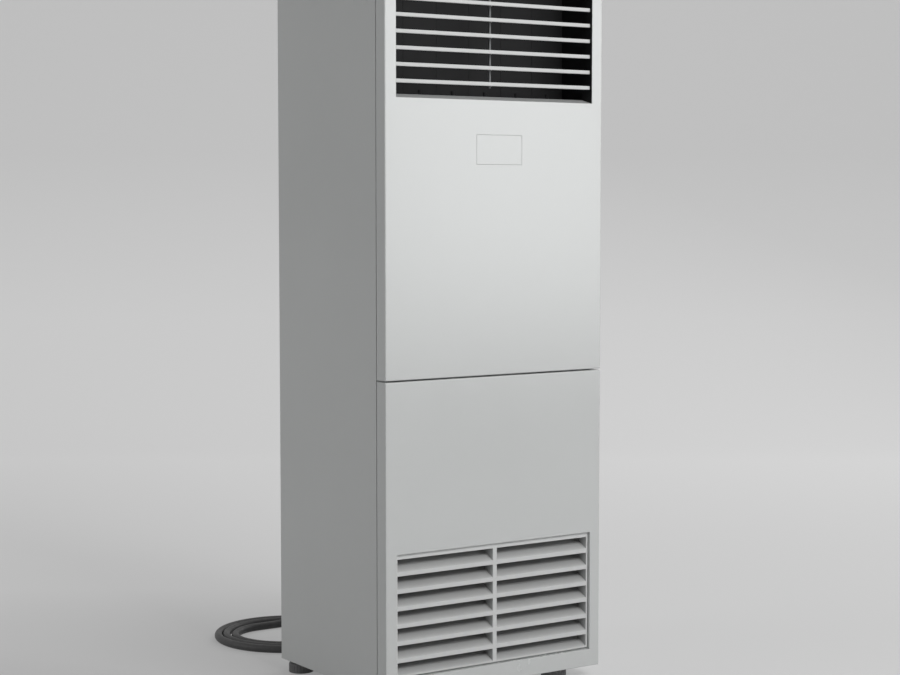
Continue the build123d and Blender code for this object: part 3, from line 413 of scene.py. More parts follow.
# %% [markdown]
# ## Rear screws
# Twelve pan head screws hold the two rear panels. The head is a grid of rings and angles whose height is a
# low dome, less a cross: where a point is near either arm of the cross and inside its reach, it sinks.

# %% Screws
screws_low, screws_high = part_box("rear_panel_screws")
HEAD_R, HEAD_H, SHANK_R, SCREW_ROWS = 4.0, 2.1, 2.0, 6
CROSS_DEPTH = 1.2


def screw_head(x, z):
    """Rings out to the head's rim. The height is dome(r) less the cross, then down the side to the sheet."""
    r = np.array([0.0, 0.3, 0.6, 0.9, 1.2, 1.5, 1.8, 2.1, 2.4, 2.9, 3.4, 3.8, HEAD_R, HEAD_R, 0.0])[:, None]
    angle = np.linspace(0, 2 * pi, 48, endpoint=False)[None, :]
    across, upright = r * np.cos(angle), r * np.sin(angle)
    arm = np.minimum(np.abs(across), np.abs(upright))
    sunk = CROSS_DEPTH * ramp(-arm, -0.55, -0.35) * ramp(-r, -2.2, -1.7)
    height = HEAD_H * np.sqrt(1 - 0.75 * (r / HEAD_R) ** 2) - sunk
    height[-2:] = 0.0
    y = screws_high.y - (HEAD_H - height) * MM
    return skin(np.stack([x + across * MM, y + 0 * angle, z + upright * MM], axis=-1))


screw_places = [
    (x, z)
    for x in (screws_low.x + HEAD_R * MM, screws_high.x - HEAD_R * MM)
    for z in np.linspace(screws_low.z + HEAD_R * MM, screws_high.z - HEAD_R * MM, SCREW_ROWS)
]
shank_profile = [(screws_low.y / MM, 0), (screws_low.y / MM, SHANK_R)]
shank_profile += [(PANEL_BACK, SHANK_R), (PANEL_BACK, 0)]
screws = piece_from(
    "cross_recess_screws",
    [screw_head(x, z) for x, z in screw_places]
    + [turned(shank_profile, (x, 0, z), (0, 1, 0), 16) for x, z in screw_places],
    slot="screw_steel",
)
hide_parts("rear_panel_screws")

# %% [markdown]
# ## Cover plate
# A blank plate closes the opening for the display. In the photograph its outline is almost invisible, so it
# fits closely and its rim is only slightly rounded. The plate is a stack of rounded rectangles: each row of
# the grid is the same outline, drawn in by an inset and set at a depth.


# %% Cover
def rounded_rectangle(low_x, high_x, low_z, high_z, corner, steps=5):
    """Outline points, corner by corner: the sharp corner + corner * (inward + (cos, sin)) of an angle in its
    quarter, where inward points from the sharp corner to the middle of the arc."""
    angle = np.radians(np.linspace(0, 90, steps))[None, :] + np.radians([0, 90, 180, 270])[:, None]
    x, inward_x = np.array([(high_x, low_x, low_x, high_x), (-1, 1, 1, -1)], float)[..., None]
    z, inward_z = np.array([(high_z, high_z, low_z, low_z), (-1, -1, 1, 1)], float)[..., None]
    x = x + corner * (inward_x + np.cos(angle))
    z = z + corner * (inward_z + np.sin(angle))
    return np.stack([x.ravel(), z.ravel()], axis=1)


cover_low, cover_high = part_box("display_cover")
FLANGE, CAD_GROOVE = 4.3, 0.3  # from the CAD plate's edge to its flange's, and its gap in the opening
LAP = FLANGE - CAD_GROOVE  # how far the flange reaches behind the panel
COVER_FIT = 0.18  # the gap round the new plate
COVER_CORNER = 0.8 * MM
edge = (LAP + COVER_FIT) * MM


def cover_row(inset, depth):
    """The plate's outline, drawn in by an inset, at a depth behind the cover's front."""
    outline = rounded_rectangle(
        cover_low.x + edge + inset * MM,
        cover_high.x - edge - inset * MM,
        cover_low.z + edge + inset * MM,
        cover_high.z - edge - inset * MM,
        COVER_CORNER,
    )
    return np.insert(outline, 1, cover_low.y + depth * MM, axis=1)


cover_rows = [(-LAP, 3.5), (-LAP, 1.55), (0, 1.55)]  # the flange and the step up to the plate
cover_rows += [(0, 0.4), (0.1, 0.15), (0.35, 0.02), (1.0, 0.0)]  # the plate's side and its rounded rim
cover = piece_from(
    "blank_cover_plate",
    [skin(np.stack([cover_row(*row) for row in cover_rows]), ends=True)],
    slot="white_plastic",
)
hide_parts("display_cover")

# %% [markdown]
# ## Air filter
# Behind the grille sits a moulded frame with a net of thin threads. The frame is a rounded section carried
# round a rectangle, with its corners mitred because the section moves out in both directions at once. The
# threads are light four-sided bars, because there are some hundreds of them.

# %% Filter
filter_low, filter_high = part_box("air_filter")
filter_middle = (filter_low + filter_high) / 2
filter_half = (filter_high - filter_low) / 2
BORDER = 0.010
THREAD_STEP, THREAD_HALF = 0.003, 0.00022
bar_section = rounded_rectangle(-BORDER / 2, BORDER / 2, -filter_half.y, filter_half.y, 0.0012, 4)
corner_signs = np.array([(1, 1), (-1, 1), (-1, -1), (1, -1)], float)
path_half = np.array([filter_half.x, filter_half.z]) - BORDER / 2
rim = corner_signs[:, None, :] * (path_half + bar_section[None, :, :1])
rim_points = np.stack([rim[..., 0], np.tile(bar_section[:, 1], (4, 1)), rim[..., 1]], axis=-1)
rib_section = rounded_rectangle(-0.002, 0.002, -filter_half.y, filter_half.y, 0.0008, 3)


def upright_rib(x):
    """A rounded bar from the lower to the upper border."""
    ends = np.array([-filter_half.z + BORDER / 2, filter_half.z - BORDER / 2])[:, None]
    across = np.tile(x + rib_section[:, 0], (2, 1))
    return skin(np.stack([across, np.tile(rib_section[:, 1], (2, 1)), ends + 0 * across], axis=-1)
                + np.array(filter_middle), ends=True)


filter_frame = piece_from(
    "filter_frame",
    [skin(rim_points + np.array(filter_middle), wrap_rows=True)]
    + [upright_rib(x) for x in (-filter_half.x / 2, 0.0, filter_half.x / 2)],
    body="grille",
    slot="filter_net",
)
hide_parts("air_filter")


def threads(reach, places, along, depth):
    """Four-sided bars of one direction at their places. Corner k of a bar is its end + half * (+-1, +-1)."""
    across = 2 - along  # the other of X (0) and Z (2)
    ends = np.array([-reach, reach])[None, :, None]
    ring_a = np.array([-1, 1, 1, -1]) * THREAD_HALF
    ring_b = np.array([-1, -1, 1, 1]) * THREAD_HALF
    points = np.zeros((len(places), 2, 4, 3))
    points[..., along] = ends
    points[..., across] = places[:, None, None] + ring_a
    points[..., 1] = depth + ring_b
    faces = grid_faces(2, 4, wrap_columns=True)
    count = np.arange(len(places))[:, None, None] * 8
    return (points + np.array(filter_middle)).reshape(-1, 3), (faces + count).reshape(-1, 4).tolist()


net = piece_from(
    "filter_threads",
    [
        threads(path_half[0], np.arange(-path_half[1], path_half[1], THREAD_STEP), 0, -THREAD_HALF),
        threads(path_half[1], np.arange(-path_half[0], path_half[0], THREAD_STEP), 2, THREAD_HALF),
    ],
    body="grille",
    slot="filter_net",
)

# %% [markdown]
# ## Nodes in words
# A shader is a small tree of nodes. This helper makes one node, gives it its settings, and fills its inputs
# by name or number. An input takes a value or the output of another node. A shared effect is a node group
# with named inputs and outputs, built once and placed in each material with its own values.


# %% Node helpers
def fill(tree, made, inputs):
    """Give a node's inputs their values or their links."""
    for name, value in inputs.items():
        if isinstance(value, bpy.types.NodeSocket):
            tree.links.new(value, made.inputs[name])
        else:
            made.inputs[name].default_value = value
    return made


def node(tree, kind, inputs=None, **settings):
    """A shader node of one kind with its settings and inputs."""
    made = tree.nodes.new("ShaderNode" + kind)
    for name, value in settings.items():
        setattr(made, name, value)
    return fill(tree, made, inputs or {})


def math(tree, operation, first, second=0.0, third=0.0):
    """The output of a Math node. The third value is only for operations that take three."""
    return node(tree, "Math", {0: first, 1: second, 2: third}, operation=operation).outputs[0]


def spread(tree, value, low, high, to_low=0.0, to_high=1.0):
    """A value's range low..high laid over to_low..to_high, and held there beyond it."""
    ranges = {"Value": value, "From Min": low, "From Max": high, "To Min": to_low, "To Max": to_high}
    return node(tree, "MapRange", ranges).outputs[0]


def mixed(tree, factor, first, second):
    """Colours mixed by a factor."""
    return node(tree, "Mix", {0: factor, 6: first, 7: second}, data_type="RGBA").outputs[2]


def axes(tree, vector):
    """The three numbers of a vector."""
    return node(tree, "SeparateXYZ", {0: vector}).outputs


def scaled(tree, vector, scale):
    """A vector times a scale for each axis."""
    return node(tree, "VectorMath", {0: vector, 1: scale}, operation="MULTIPLY").outputs[0]


def dot(tree, first, second):
    """The dot product of two vectors."""
    return node(tree, "VectorMath", {0: first, 1: second}, operation="DOT_PRODUCT").outputs["Value"]


def seen_rays(tree):
    """1 for the rays that see a surface: the camera's, the gloss's and those through clear matter."""
    rays = node(tree, "LightPath").outputs
    seen = math(tree, "MAXIMUM", rays["Is Camera Ray"], rays["Is Glossy Ray"])
    return math(tree, "MAXIMUM", seen, rays["Is Transmission Ray"])


def group(name, inputs, outputs):
    """An empty node group: a value's socket for each number, a colour's for four, a vector's for None."""
    tree = bpy.data.node_groups.new(name, "ShaderNodeTree")
    for label, value in inputs.items():
        kind = "Vector" if value is None else "Color" if isinstance(value, tuple) else "Float"
        socket = tree.interface.new_socket(label, in_out="INPUT", socket_type="NodeSocket" + kind)
        if value is not None:
            socket.default_value = value
    for label, kind in outputs.items():
        tree.interface.new_socket(label, in_out="OUTPUT", socket_type="NodeSocket" + kind)
    return tree, tree.nodes.new("NodeGroupInput").outputs, tree.nodes.new("NodeGroupOutput")


def placed(tree, shared, inputs):
    """A shared group placed in a material with its own values. Returns its outputs."""
    made = tree.nodes.new("ShaderNodeGroup")
    made.node_tree = shared
    return fill(tree, made, inputs).outputs


# %% [markdown]
# ## Shared effects
# - uneven_tone: no coating is one colour all over. A soft noise lightens and darkens it a little.
# - fine_relief: a noise at the scale of the surface, as a normal. On enamel it is the orange peel of sprayed
#   paint, on plastic the grain of the mould, on metal the lines of drawing when the place is stretched.
# - soft_edge: pressed and moulded edges are never sharp. The Bevel node rounds the normal near an edge,
#   which catches the light, and comparing it with the true normal tells where the edges are.
# - settled_dust: dust lies on what faces up, and more of it gathers near the floor.
# - zinc_spangle: hot dipped zinc freezes in flakes, each with its own shine.


# %% Group: uneven tone
def make_uneven_tone():
    """Colour times 1 - amount .. 1 + amount, by noise. Level is the same noise from 0 to 1."""
    sockets = {"Vector": None, "Colour": (1.0, 1.0, 1.0, 1.0), "Patches": 4.0, "Amount": 0.02}
    tree, given, out = group("uneven_tone", sockets, {"Colour": "Color", "Level": "Float"})
    noise = node(tree, "TexNoise", {"Vector": given["Vector"], "Scale": given["Patches"], "Detail": 4.0})
    level = spread(tree, noise.outputs[0], 0.33, 0.67)
    swing = math(tree, "MULTIPLY_ADD", level, 2.0, -1.0)
    gain = math(tree, "MULTIPLY_ADD", swing, given["Amount"], 1.0)
    toned = node(tree, "VectorMath", {0: given["Colour"], "Scale": gain}, operation="SCALE")
    fill(tree, out, {"Colour": toned.outputs[0], "Level": level})
    return tree


UNEVEN_TONE = make_uneven_tone()
print("group", UNEVEN_TONE.name)


# %% Group: fine relief
def make_fine_relief():
    """A bump whose height is noise of a given fineness and whose depth is in metres."""
    sockets = {"Vector": None, "Fineness": 800.0, "Depth": 1e-5, "Normal": None}
    tree, given, out = group("fine_relief", sockets, {"Normal": "Vector"})
    noise = node(tree, "TexNoise", {"Vector": given["Vector"], "Scale": given["Fineness"], "Detail": 2.0})
    height = {"Height": noise.outputs[0], "Distance": given["Depth"], "Strength": 1.0}
    bump = node(tree, "Bump", {**height, "Normal": given["Normal"]})
    fill(tree, out, {"Normal": bump.outputs[0]})
    return tree


FINE_RELIEF = make_fine_relief()
print("group", FINE_RELIEF.name)


# %% Group: soft edge
def make_soft_edge():
    """The Bevel node's normal, and a mask that is 1 where it leaves the true normal."""
    tree, given, out = group("soft_edge", {"Radius": 0.001}, {"Normal": "Vector", "Mask": "Float"})
    soft = node(tree, "Bevel", {"Radius": given["Radius"]}, samples=6).outputs[0]
    true = node(tree, "NewGeometry").outputs["Normal"]
    fill(tree, out, {"Normal": soft, "Mask": spread(tree, dot(tree, soft, true), 0.99, 0.8)})
    return tree


SOFT_EDGE = make_soft_edge()
print("group", SOFT_EDGE.name)


# %% Group: settled dust
def make_settled_dust():
    """Amount * noise * the larger of two: how far the surface faces up, and a veil that thins out above the
    floor."""
    sockets = {"Vector": None, "Amount": 0.1, "Reach": 0.3}
    tree, given, out = group("settled_dust", sockets, {"Mask": "Float"})
    noise = node(tree, "TexNoise", {"Vector": given["Vector"], "Scale": 55.0, "Detail": 5.0}).outputs[0]
    facing = axes(tree, node(tree, "NewGeometry").outputs["Normal"])[2]
    height = axes(tree, given["Vector"])[2]
    veil = math(tree, "SUBTRACT", 1.0, math(tree, "DIVIDE", height, given["Reach"]))
    veil = spread(tree, veil, 0.0, 1.0, 0.0, 0.5)
    lying = math(tree, "MAXIMUM", spread(tree, facing, 0.2, 1.0), veil)
    patchy = math(tree, "MULTIPLY", lying, spread(tree, noise, 0.3, 0.7))
    fill(tree, out, {"Mask": math(tree, "MULTIPLY", patchy, given["Amount"])})
    return tree


SETTLED_DUST = make_settled_dust()
print("group", SETTLED_DUST.name)


# %% Group: zinc spangle
def make_zinc_spangle():
    """Flakes from a Voronoi pattern: each flake's own number, and a fine grain inside it."""
    tree, given, out = group("zinc_spangle", {"Vector": None, "Flakes": 110.0}, {"Level": "Float"})
    flake = node(tree, "TexVoronoi", {"Vector": given["Vector"], "Scale": given["Flakes"]}).outputs["Color"]
    own = node(tree, "SeparateColor", {0: flake}).outputs[0]
    grain = node(tree, "TexNoise", {"Vector": given["Vector"], "Scale": 700.0, "Detail": 3.0}).outputs[0]
    level = math(tree, "ADD", math(tree, "MULTIPLY", own, 0.75), math(tree, "MULTIPLY", grain, 0.25))
    fill(tree, out, {"Level": level})
    return tree


ZINC_SPANGLE = make_zinc_spangle()
print("group", ZINC_SPANGLE.name)

# %% [markdown]
# ## What every finish shares
# One function builds the part of a material that all of them have: a colour in faint patches, a roughness
# that wanders with them, a fine relief on softened edges, and some dust. Each finish below then adds what is
# its own. A value that is the same all over goes straight on the shader.

# %% Base finish
DUST = (0.42, 0.40, 0.37, 1.0)


def base_finish(name, colour, roughness, metallic=0.0, patches=4.0, amount=0.02, wander=0.04,
                fineness=800.0, depth=6e-6, edge=0.0008, dust=0.08, stretch=(1, 1, 1)):
    """The shared part of a material. Returns what a finish goes on from: the material, its tree and shader,
    the place on the object, and the softened edges."""
    material = bpy.data.materials.new(name)
    material.use_nodes = True
    tree = material.node_tree
    shader = tree.nodes["Principled BSDF"]
    shader.inputs["Metallic"].default_value = metallic
    place = node(tree, "TexCoord").outputs["Object"]
    patchy = {"Vector": place, "Colour": (*colour, 1.0), "Patches": patches, "Amount": amount}
    tone = placed(tree, UNEVEN_TONE, patchy)
    lying = placed(tree, SETTLED_DUST, {"Vector": place, "Amount": dust})["Mask"]
    drawn = scaled(tree, place, stretch)
    soft = placed(tree, SOFT_EDGE, {"Radius": edge})
    relief = {"Vector": drawn, "Fineness": fineness, "Depth": depth, "Normal": soft["Normal"]}
    rough = spread(tree, tone["Level"], 0.0, 1.0, roughness - wander, roughness + wander)
    fill(tree, shader, {
        "Base Color": mixed(tree, lying, tone["Colour"], DUST),
        "Roughness": math(tree, "ADD", rough, math(tree, "MULTIPLY", lying, 0.3)),
        "Normal": placed(tree, FINE_RELIEF, relief)["Normal"],
    })
    return {"material": material, "tree": tree, "shader": shader, "place": place, "soft": soft}


def feeding(shader, socket):
    """The output that feeds one of the shader's sockets."""
    return shader.inputs[socket].links[0].from_socket


def tint(finish, mask, colour):
    """Mix a further colour over a finish by a mask."""
    tree, shader = finish["tree"], finish["shader"]
    fill(tree, shader, {"Base Color": mixed(tree, mask, feeding(shader, "Base Color"), (*colour, 1.0))})


def worn_edges(finish, share, colour):
    """Mix a share of a colour over the edges: real rubbing on the feet and the black plastic,
    a painted highlight on the enamel and the white plastic.
    """
    tint(finish, math(finish["tree"], "MULTIPLY", finish["soft"]["Mask"], share), colour)


def blotches(finish, noise, low, high, share, colour):
    """Mix a colour in by a noise: none of it where the noise is low, its whole share where it is high."""
    tree = finish["tree"]
    level = node(tree, "TexNoise", {"Vector": finish["place"], **noise}).outputs[0]
    tint(finish, spread(tree, level, low, high, 0.0, share), colour)


# %% [markdown]
# ## Enamel and white plastic
# The panels are sprayed and baked: a pale grey enamel with a satin shine and a faint orange peel. The folded
# edges are painted slightly lighter, a painted highlight where they catch the light. The blades and the
# grille are moulded in nearly the same tone.


# %% Enamel
# Painted highlight: the paler colour laid over the edges of the enamel and the white plastic.
PAINTED_EDGE_HIGHLIGHT = (0.80, 0.81, 0.805)


def casing_enamel():
    """Satin sprayed enamel: wide faint patches, orange peel about 2.5 mm across."""
    finish = base_finish("casing_enamel", (0.70, 0.715, 0.71), 0.25, metallic=0.12, patches=2.2,
                         amount=0.012, wander=0.02, fineness=420.0, depth=3e-6, edge=0.0012, dust=0.05)
    # Painted highlight along the folded edges.
    worn_edges(finish, 0.25, PAINTED_EDGE_HIGHLIGHT)
    return finish


def white_plastic():
    """Moulded blades and grille: satin, with a very fine mould grain. Below the top of the grille the finish
    greys with depth behind its front: painted shade, for the shade that the bars throw onto the intake's
    slats."""
    finish = base_finish("white_plastic", (0.74, 0.75, 0.745), 0.42, patches=9.0, amount=0.012,
                         fineness=1600.0, depth=5e-6, edge=0.0006, dust=0.06)
    tree = finish["tree"]
    # Painted highlight along the moulded edges.
    worn_edges(finish, 0.2, PAINTED_EDGE_HIGHLIGHT)
    grille_low, grille_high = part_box("intake_grille")
    place = axes(tree, finish["place"])
    # Painted shade: deeper behind the grille's front the slats darken towards grey, as if shaded by the bars
    # above.
    depth = spread(tree, place[1], grille_low.y + 0.001, grille_low.y + 0.030)
    intake = math(tree, "LESS_THAN", place[2], grille_high.z)
    grey = math(tree, "MULTIPLY", math(tree, "POWER", depth, 0.6), 0.75)
    tint(finish, math(tree, "MULTIPLY", grey, intake), (0.24, 0.24, 0.24))
    return finish


# %% [markdown]
# ## Other plastics
# The duct, the upright vanes and their bar are matt charcoal, so that nobody sees into the cabinet. The link
# rod between the blades is a plain mid grey, the filter a blue grey, and the drain pan a pale one.


# %% Plastics
def duct_plastic():
    """Matt charcoal moulding with a grain that shows only in grazing light."""
    finish = base_finish("duct_plastic", (0.011, 0.011, 0.012), 0.6, patches=12.0, amount=0.10,
                         fineness=1100.0, depth=1.4e-5, edge=0.0008, dust=0.01)
    finish["shader"].inputs["Specular IOR Level"].default_value = 0.3
    return finish


def grey_plastic():
    """The link rod: plain grey, with faint patches in its tone and shine."""
    return base_finish("grey_plastic", (0.20, 0.205, 0.21), 0.45, patches=30.0, amount=0.05, dust=0.05)


def filter_net():
    """Blue grey nylon under a good deal of dust."""
    return base_finish("filter_net", (0.075, 0.085, 0.095), 0.6, patches=40.0, amount=0.15,
                       dust=0.5, edge=0.0004)


def pan_plastic():
    """Pale grey drain pan and pipe with faint water marks."""
    finish = base_finish("pan_plastic", (0.47, 0.48, 0.48), 0.4, patches=14.0, amount=0.05)
    blotches(finish, {"Scale": 25.0, "Distortion": 2.0}, 0.58, 0.6, 0.12, (0.62, 0.62, 0.58))
    return finish


# %% [markdown]
# ## Sheet metal and cast metal
# The hidden structure is galvanised sheet with its flaky spangle. The motor shells are cast aluminium, the
# fins are bright rolled foil, and the pipes are drawn copper that has begun to darken in patches.


# %% Metals
def galvanised_sheet():
    """Zinc: each flake has its own lightness and its own shine."""
    finish = base_finish("galvanised_sheet", (0.52, 0.54, 0.55), 0.42, metallic=1.0, patches=6.0,
                         amount=0.06, fineness=500.0, depth=4e-6, dust=0.2)
    tree, shader = finish["tree"], finish["shader"]
    flakes = placed(tree, ZINC_SPANGLE, {"Vector": finish["place"]})["Level"]
    tint(finish, spread(tree, flakes, 0.2, 0.9, 0.0, 0.45), (0.34, 0.36, 0.37))
    fill(tree, shader, {"Roughness": spread(tree, flakes, 0.1, 0.9, 0.34, 0.55)})
    return finish


def screw_steel():
    """Zinc plated screws, the motor's shaft and the plug's pins: fine turned lines and bright edges."""
    return base_finish("screw_steel", (0.58, 0.58, 0.56), 0.3, metallic=1.0, patches=60.0, amount=0.08,
                       fineness=900.0, depth=6e-6, edge=0.0003, dust=0.05, stretch=(1, 0.1, 1))


def motor_shell():
    """Sand cast aluminium: a coarse skin, darker in its hollows."""
    finish = base_finish("motor_shell", (0.36, 0.37, 0.38), 0.5, metallic=0.9, patches=20.0, amount=0.1,
                         fineness=350.0, depth=5e-5, dust=0.2)
    blotches(finish, {"Scale": 350.0, "Detail": 2.0}, 0.5, 0.35, 0.35, (0.16, 0.16, 0.165))
    return finish


def fin_aluminium():
    """Bright rolled foil with lines down the fins."""
    return base_finish("fin_aluminium", (0.70, 0.72, 0.74), 0.28, metallic=1.0, patches=10.0, amount=0.05,
                       fineness=600.0, depth=8e-6, edge=0.0002, dust=0.1, stretch=(1, 1, 0.05))


def copper_pipe():
    """Drawn copper: lines along the run, and darker brown patches where hands and flux have been."""
    finish = base_finish("copper_pipe", (0.68, 0.34, 0.22), 0.28, metallic=1.0, patches=25.0, amount=0.08,
                         fineness=700.0, depth=5e-6, dust=0.1, stretch=(1, 1, 0.08))
    blotches(finish, {"Scale": 38.0, "Detail": 5.0}, 0.48, 0.68, 0.7, (0.22, 0.10, 0.06))
    return finish


# %% [markdown]
# ## Felt and circuit board
# The lining is a needled felt: tangled threads, rough and dark. The board is green with copper tracks under
# its lacquer. The parts on it stand in front of its face, so their colour starts at a depth.


# %% Felt and board
BOARD_POST, BOARD_THICK, BOARD_CLEAR = 6.0, 1.6, 0.4


def insulation_felt():
    """Felt: paler threads from a noise drawn out along X, on a coarse relief, with a sheen."""
    finish = base_finish("insulation_felt", (0.020, 0.020, 0.022), 0.95, patches=90.0, amount=0.35,
                         wander=0.03, fineness=1500.0, depth=1.5e-4, edge=0.003, dust=0.1)
    finish["shader"].inputs["Sheen Weight"].default_value = 0.25
    finish["shader"].inputs["Sheen Roughness"].default_value = 0.6
    thread = {"Vector": scaled(finish["tree"], finish["place"], (60, 400, 400)), "Scale": 1.0, "Detail": 3.0}
    blotches(finish, thread, 0.52, 0.7, 0.5, (0.06, 0.06, 0.065))
    return finish


def board():
    """Green lacquer, tracks as a grid of thin lines, and dark parts in front of the board's face."""
    finish = base_finish("board", (0.02, 0.10, 0.045), 0.3, patches=30.0, amount=0.08, edge=0.0003)
    tree = finish["tree"]
    place = axes(tree, finish["place"])
    upright = node(tree, "CombineXYZ", {0: place[0], 1: place[2]}).outputs[0]
    bricks = {"Vector": upright, "Scale": 42.0, "Color1": (0, 0, 0, 1), "Color2": (0, 0, 0, 1)}
    tracks = node(tree, "TexBrick", {**bricks, "Mortar": (1, 1, 1, 1), "Mortar Size": 0.03})
    tint(finish, math(tree, "MULTIPLY", tracks.outputs["Fac"], 0.6), (0.06, 0.24, 0.10))
    posts_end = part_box("circuit_board")[1].y
    parts_end = posts_end - (BOARD_POST + BOARD_THICK + BOARD_CLEAR) * MM
    tint(finish, spread(tree, place[1], parts_end, parts_end - 0.0004), (0.025, 0.025, 0.028))
    return finish


# %% [markdown]
# ## Rubber and black plastic
# The cable's jacket is matt black rubber that has greyed with dust along its top. Its finish follows the UV
# map: faint rings left by the extruder every few millimetres and long scuffs where it was dragged. The
# feet, gland and plug are the same family, harder and a little shinier.


# %% Rubber
def cable_rubber():
    """Jacket: rings and scuffs from the cable's own map, dust from what faces up."""
    finish = base_finish("cable_rubber", (0.080, 0.080, 0.082), 0.52, patches=16.0, amount=0.12,
                         wander=0.06, fineness=900.0, depth=1.2e-5, edge=0.0005, dust=0.16)
    tree, shader = finish["tree"], finish["shader"]
    own = node(tree, "UVMap", uv_map="along_and_round").outputs[0]
    scuffs = {"Vector": scaled(tree, own, (9.0, 5.0, 1.0)), "Scale": 3.0, "Detail": 6.0, "Roughness": 0.65}
    blotches(finish, scuffs, 0.56, 0.72, 0.35, (0.11, 0.11, 0.112))
    rings = {"Vector": scaled(tree, own, (420.0, 0.6, 1.0)), "Scale": 1.0, "Detail": 1.0}
    ring = node(tree, "TexNoise", rings).outputs[0]
    relief = {"Strength": 1.0, "Distance": 4e-5, "Height": ring, "Normal": feeding(shader, "Normal")}
    fill(tree, shader, {"Normal": node(tree, "Bump", relief).outputs[0]})
    return finish


def foot_plastic():
    """Grey moulding, rubbed paler on its edges."""
    finish = base_finish("foot_plastic", (0.147, 0.147, 0.152), 0.5, patches=40.0, amount=0.15,
                         edge=0.001, dust=0.3)
    worn_edges(finish, 0.5, (0.24, 0.24, 0.245))
    return finish


def black_plastic():
    """Gland and plug: satin black with a mould grain and greyed edges."""
    finish = base_finish("black_plastic", (0.028, 0.028, 0.030), 0.4, patches=30.0, amount=0.1,
                         fineness=1300.0, depth=1.2e-5, edge=0.0006, dust=0.14)
    worn_edges(finish, 0.4, (0.08, 0.08, 0.082))
    return finish


# %% [markdown]
# ## Finishes on the pieces
# Each function above is named after the slot that it fills. Its material goes on every CAD piece of that
# slot and on the new pieces of the same look. The new cover plate wears the casing's enamel, because in the
# photograph it can hardly be told from the panel round it.

# %% Put each finish on its pieces
makers = [casing_enamel, galvanised_sheet, white_plastic, grey_plastic, duct_plastic, filter_net]
makers += [foot_plastic, screw_steel, motor_shell, fin_aluminium, pan_plastic, copper_pipe]
makers += [insulation_felt, board, cable_rubber, black_plastic]
finishes = {make.__name__: make() for make in makers}
new_pieces = {
    "cable_rubber": [cable],
    "black_plastic": [gland, plug],
    "screw_steel": [screws, pins],
    "casing_enamel": [cover],
    "filter_net": [filter_frame, net],
    "foot_plastic": [o for o in scene.objects if o.name.startswith("scalloped_foot")],
}
for slot, finish in finishes.items():
    nodes = [frame["nodes"][p["node"]] for p in frame["record"]["subparts"] if p["material_slot"] == slot]
    for piece in nodes + new_pieces.get(slot, []):
        piece.data.materials.clear()
        piece.data.materials.append(finish["material"])
    print(slot, len(nodes), "nodes")

# %% [markdown]
# ## Floor and backdrop
# The photograph has one pale sweep: a floor that curves up into the wall behind. It is a profile carried
# sideways, so there is no line between the floor and the wall. What the camera, the gloss and the clear
# rays see of it is lifted by its own light: more so far back than near, a little less high on the wall, and
# less on the floor at the left in front, where the photograph is darker. That dip is a painted shadow, added
# to the soft shadow that the lamp at the right lays there.
# The other rays don't get this light, so it doesn't brighten the object, apart from what the object mirrors.

# %% Backdrop
WALL_Y, SWEEP, HALF_WIDTH = 4.2, 3.0, 12.0
FRONT_EDGE, TOP_EDGE = -9.0, 9.0
BACKDROP_GREY = 0.50
LIFT_NEAR, LIFT_FAR, LIFT_HIGH, PAINTED_SHADOW_LEFT = 0.30, 0.435, -0.055, -0.13
u = np.linspace(0, pi / 2, 24)
profile_y = np.concatenate([[FRONT_EDGE], WALL_Y + SWEEP * np.sin(u), [WALL_Y + SWEEP]])
profile_z = np.concatenate([[0.0], SWEEP * (1 - np.cos(u)), [TOP_EDGE]])
across, profile_y = np.meshgrid([-HALF_WIDTH, HALF_WIDTH], profile_y)
profile_z = np.stack([profile_z, profile_z], axis=1)
sweep_points = np.stack([
    across * cos(VIEW_TURN) - profile_y * sin(VIEW_TURN),
    across * sin(VIEW_TURN) + profile_y * cos(VIEW_TURN),
    profile_z,
], axis=-1)
sweep_faces = grid_faces(*sweep_points.shape[:2]).tolist()
backdrop = piece_from("backdrop", [(sweep_points.reshape(-1, 3), sweep_faces)])

# %% Backdrop paper
paper = bpy.data.materials.new("backdrop_paper")
paper.use_nodes = True
paper_tree = paper.node_tree
paper_shader = paper_tree.nodes["Principled BSDF"]
fill(paper_tree, paper_shader, {
    "Base Color": (BACKDROP_GREY, BACKDROP_GREY, BACKDROP_GREY, 1),
    "Roughness": 1.0,
    "Specular IOR Level": 0.0,
    "Emission Color": (1, 1, 1, 1),
})
seen = seen_rays(paper_tree)
paper_place = node(paper_tree, "TexCoord").outputs["Object"]
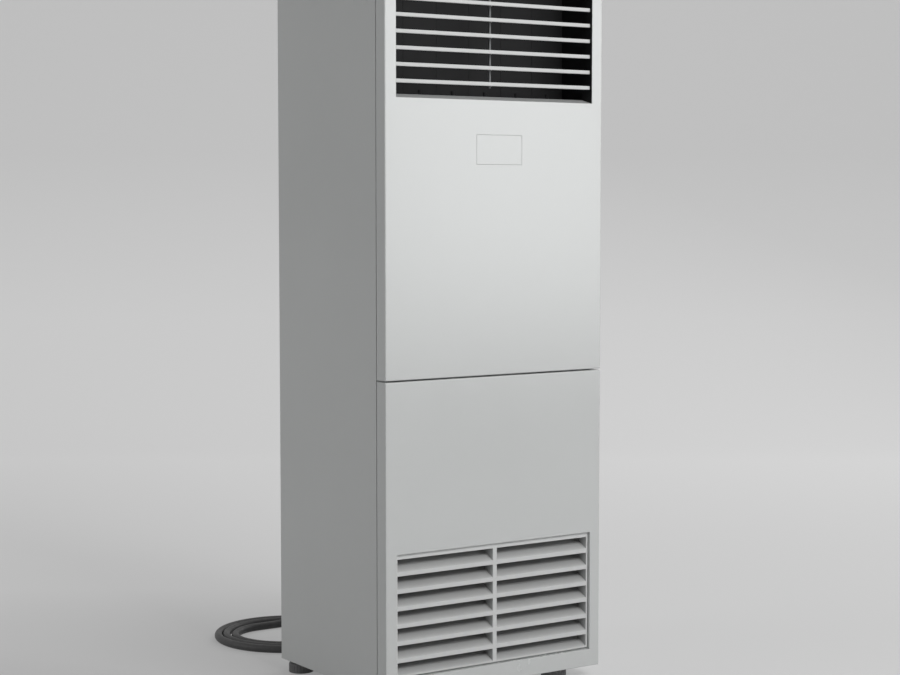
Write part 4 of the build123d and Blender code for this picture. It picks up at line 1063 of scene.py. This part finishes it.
# metres from the cabinet's middle: away from the camera, up, and towards the picture's right
away = dot(paper_tree, paper_place, (-sin(VIEW_TURN), cos(VIEW_TURN), 0))
high = axes(paper_tree, paper_place)[2]
aside = dot(paper_tree, paper_place, (cos(VIEW_TURN), sin(VIEW_TURN), 0))
# Painted shadow: the lift drops on the floor at the left in front of the cabinet.
painted_floor_shadow = math(paper_tree, "MULTIPLY", spread(paper_tree, aside, 0.1, -0.25, 0.0, PAINTED_SHADOW_LEFT),
             spread(paper_tree, away, 1.0, -0.3))
lift = math(paper_tree, "ADD", spread(paper_tree, away, 0.0, 3.8, LIFT_NEAR, LIFT_FAR),
            spread(paper_tree, high, 0.5, 1.4, 0.0, LIFT_HIGH))
lift = math(paper_tree, "ADD", lift, painted_floor_shadow)
fill(paper_tree, paper_shader, {"Emission Strength": math(paper_tree, "MULTIPLY", seen, lift)})
backdrop.data.materials.append(paper)

# %% [markdown]
# ## Light
# The main lamp stands high in front. A card at the right shows in the satin enamel above the split, a lamp
# at the left lifts the side panel, and one at the right lays the soft shadow on the floor at the left. The
# even light of the room fills the rest. The rays that see are shown a paler room than the one that lights.


# %% Lamps
def area_lamp(name, place, aim, width, height, power):
    """A soft lamp of a width and a height at a place, turned to its aim."""
    data = bpy.data.lights.new(name, "AREA")
    data.shape = "RECTANGLE"
    data.size, data.size_y = width, height
    data.energy = power
    lamp = bpy.data.objects.new(name, data)
    scene.collection.objects.link(lamp)
    lamp.location = place
    lamp.rotation_euler = (Vector(aim) - Vector(place)).to_track_quat("-Z", "Y").to_euler()


LAMPS = {  # place, aim, width and height in metres, and power in watts
    "key": ((0.35, -4.1, 3.3), (0, -0.2, 1.3), 2.0, 1.4, 101.0),
    "card": ((2.6, -3.9, 1.7), (0, -0.24, 1.7), 1.9, 2.3, 26.0),
    "left": ((-4.0, 1.2, 1.8), (0, 0, 1.3), 2.0, 2.4, 23.0),
    "right": ((4.4, 1.6, 3.4), (0, 0, 0.4), 3.0, 3.0, 38.0),
}
WORLD_LEVEL, WORLD_SEEN = 0.19, 0.42
for name, lamp in LAMPS.items():
    area_lamp(name, *lamp)
world = bpy.data.worlds.new("soft_room")
world.use_nodes = True
room = world.node_tree
level = spread(room, seen_rays(room), 0.0, 1.0, WORLD_LEVEL, WORLD_SEEN)
fill(room, room.nodes["Background"], {"Color": (1, 1, 1, 1), "Strength": level})
scene.world = world
scene.view_settings.view_transform = "Standard"
print("lamps", ", ".join(LAMPS), "and a world of", WORLD_LEVEL)
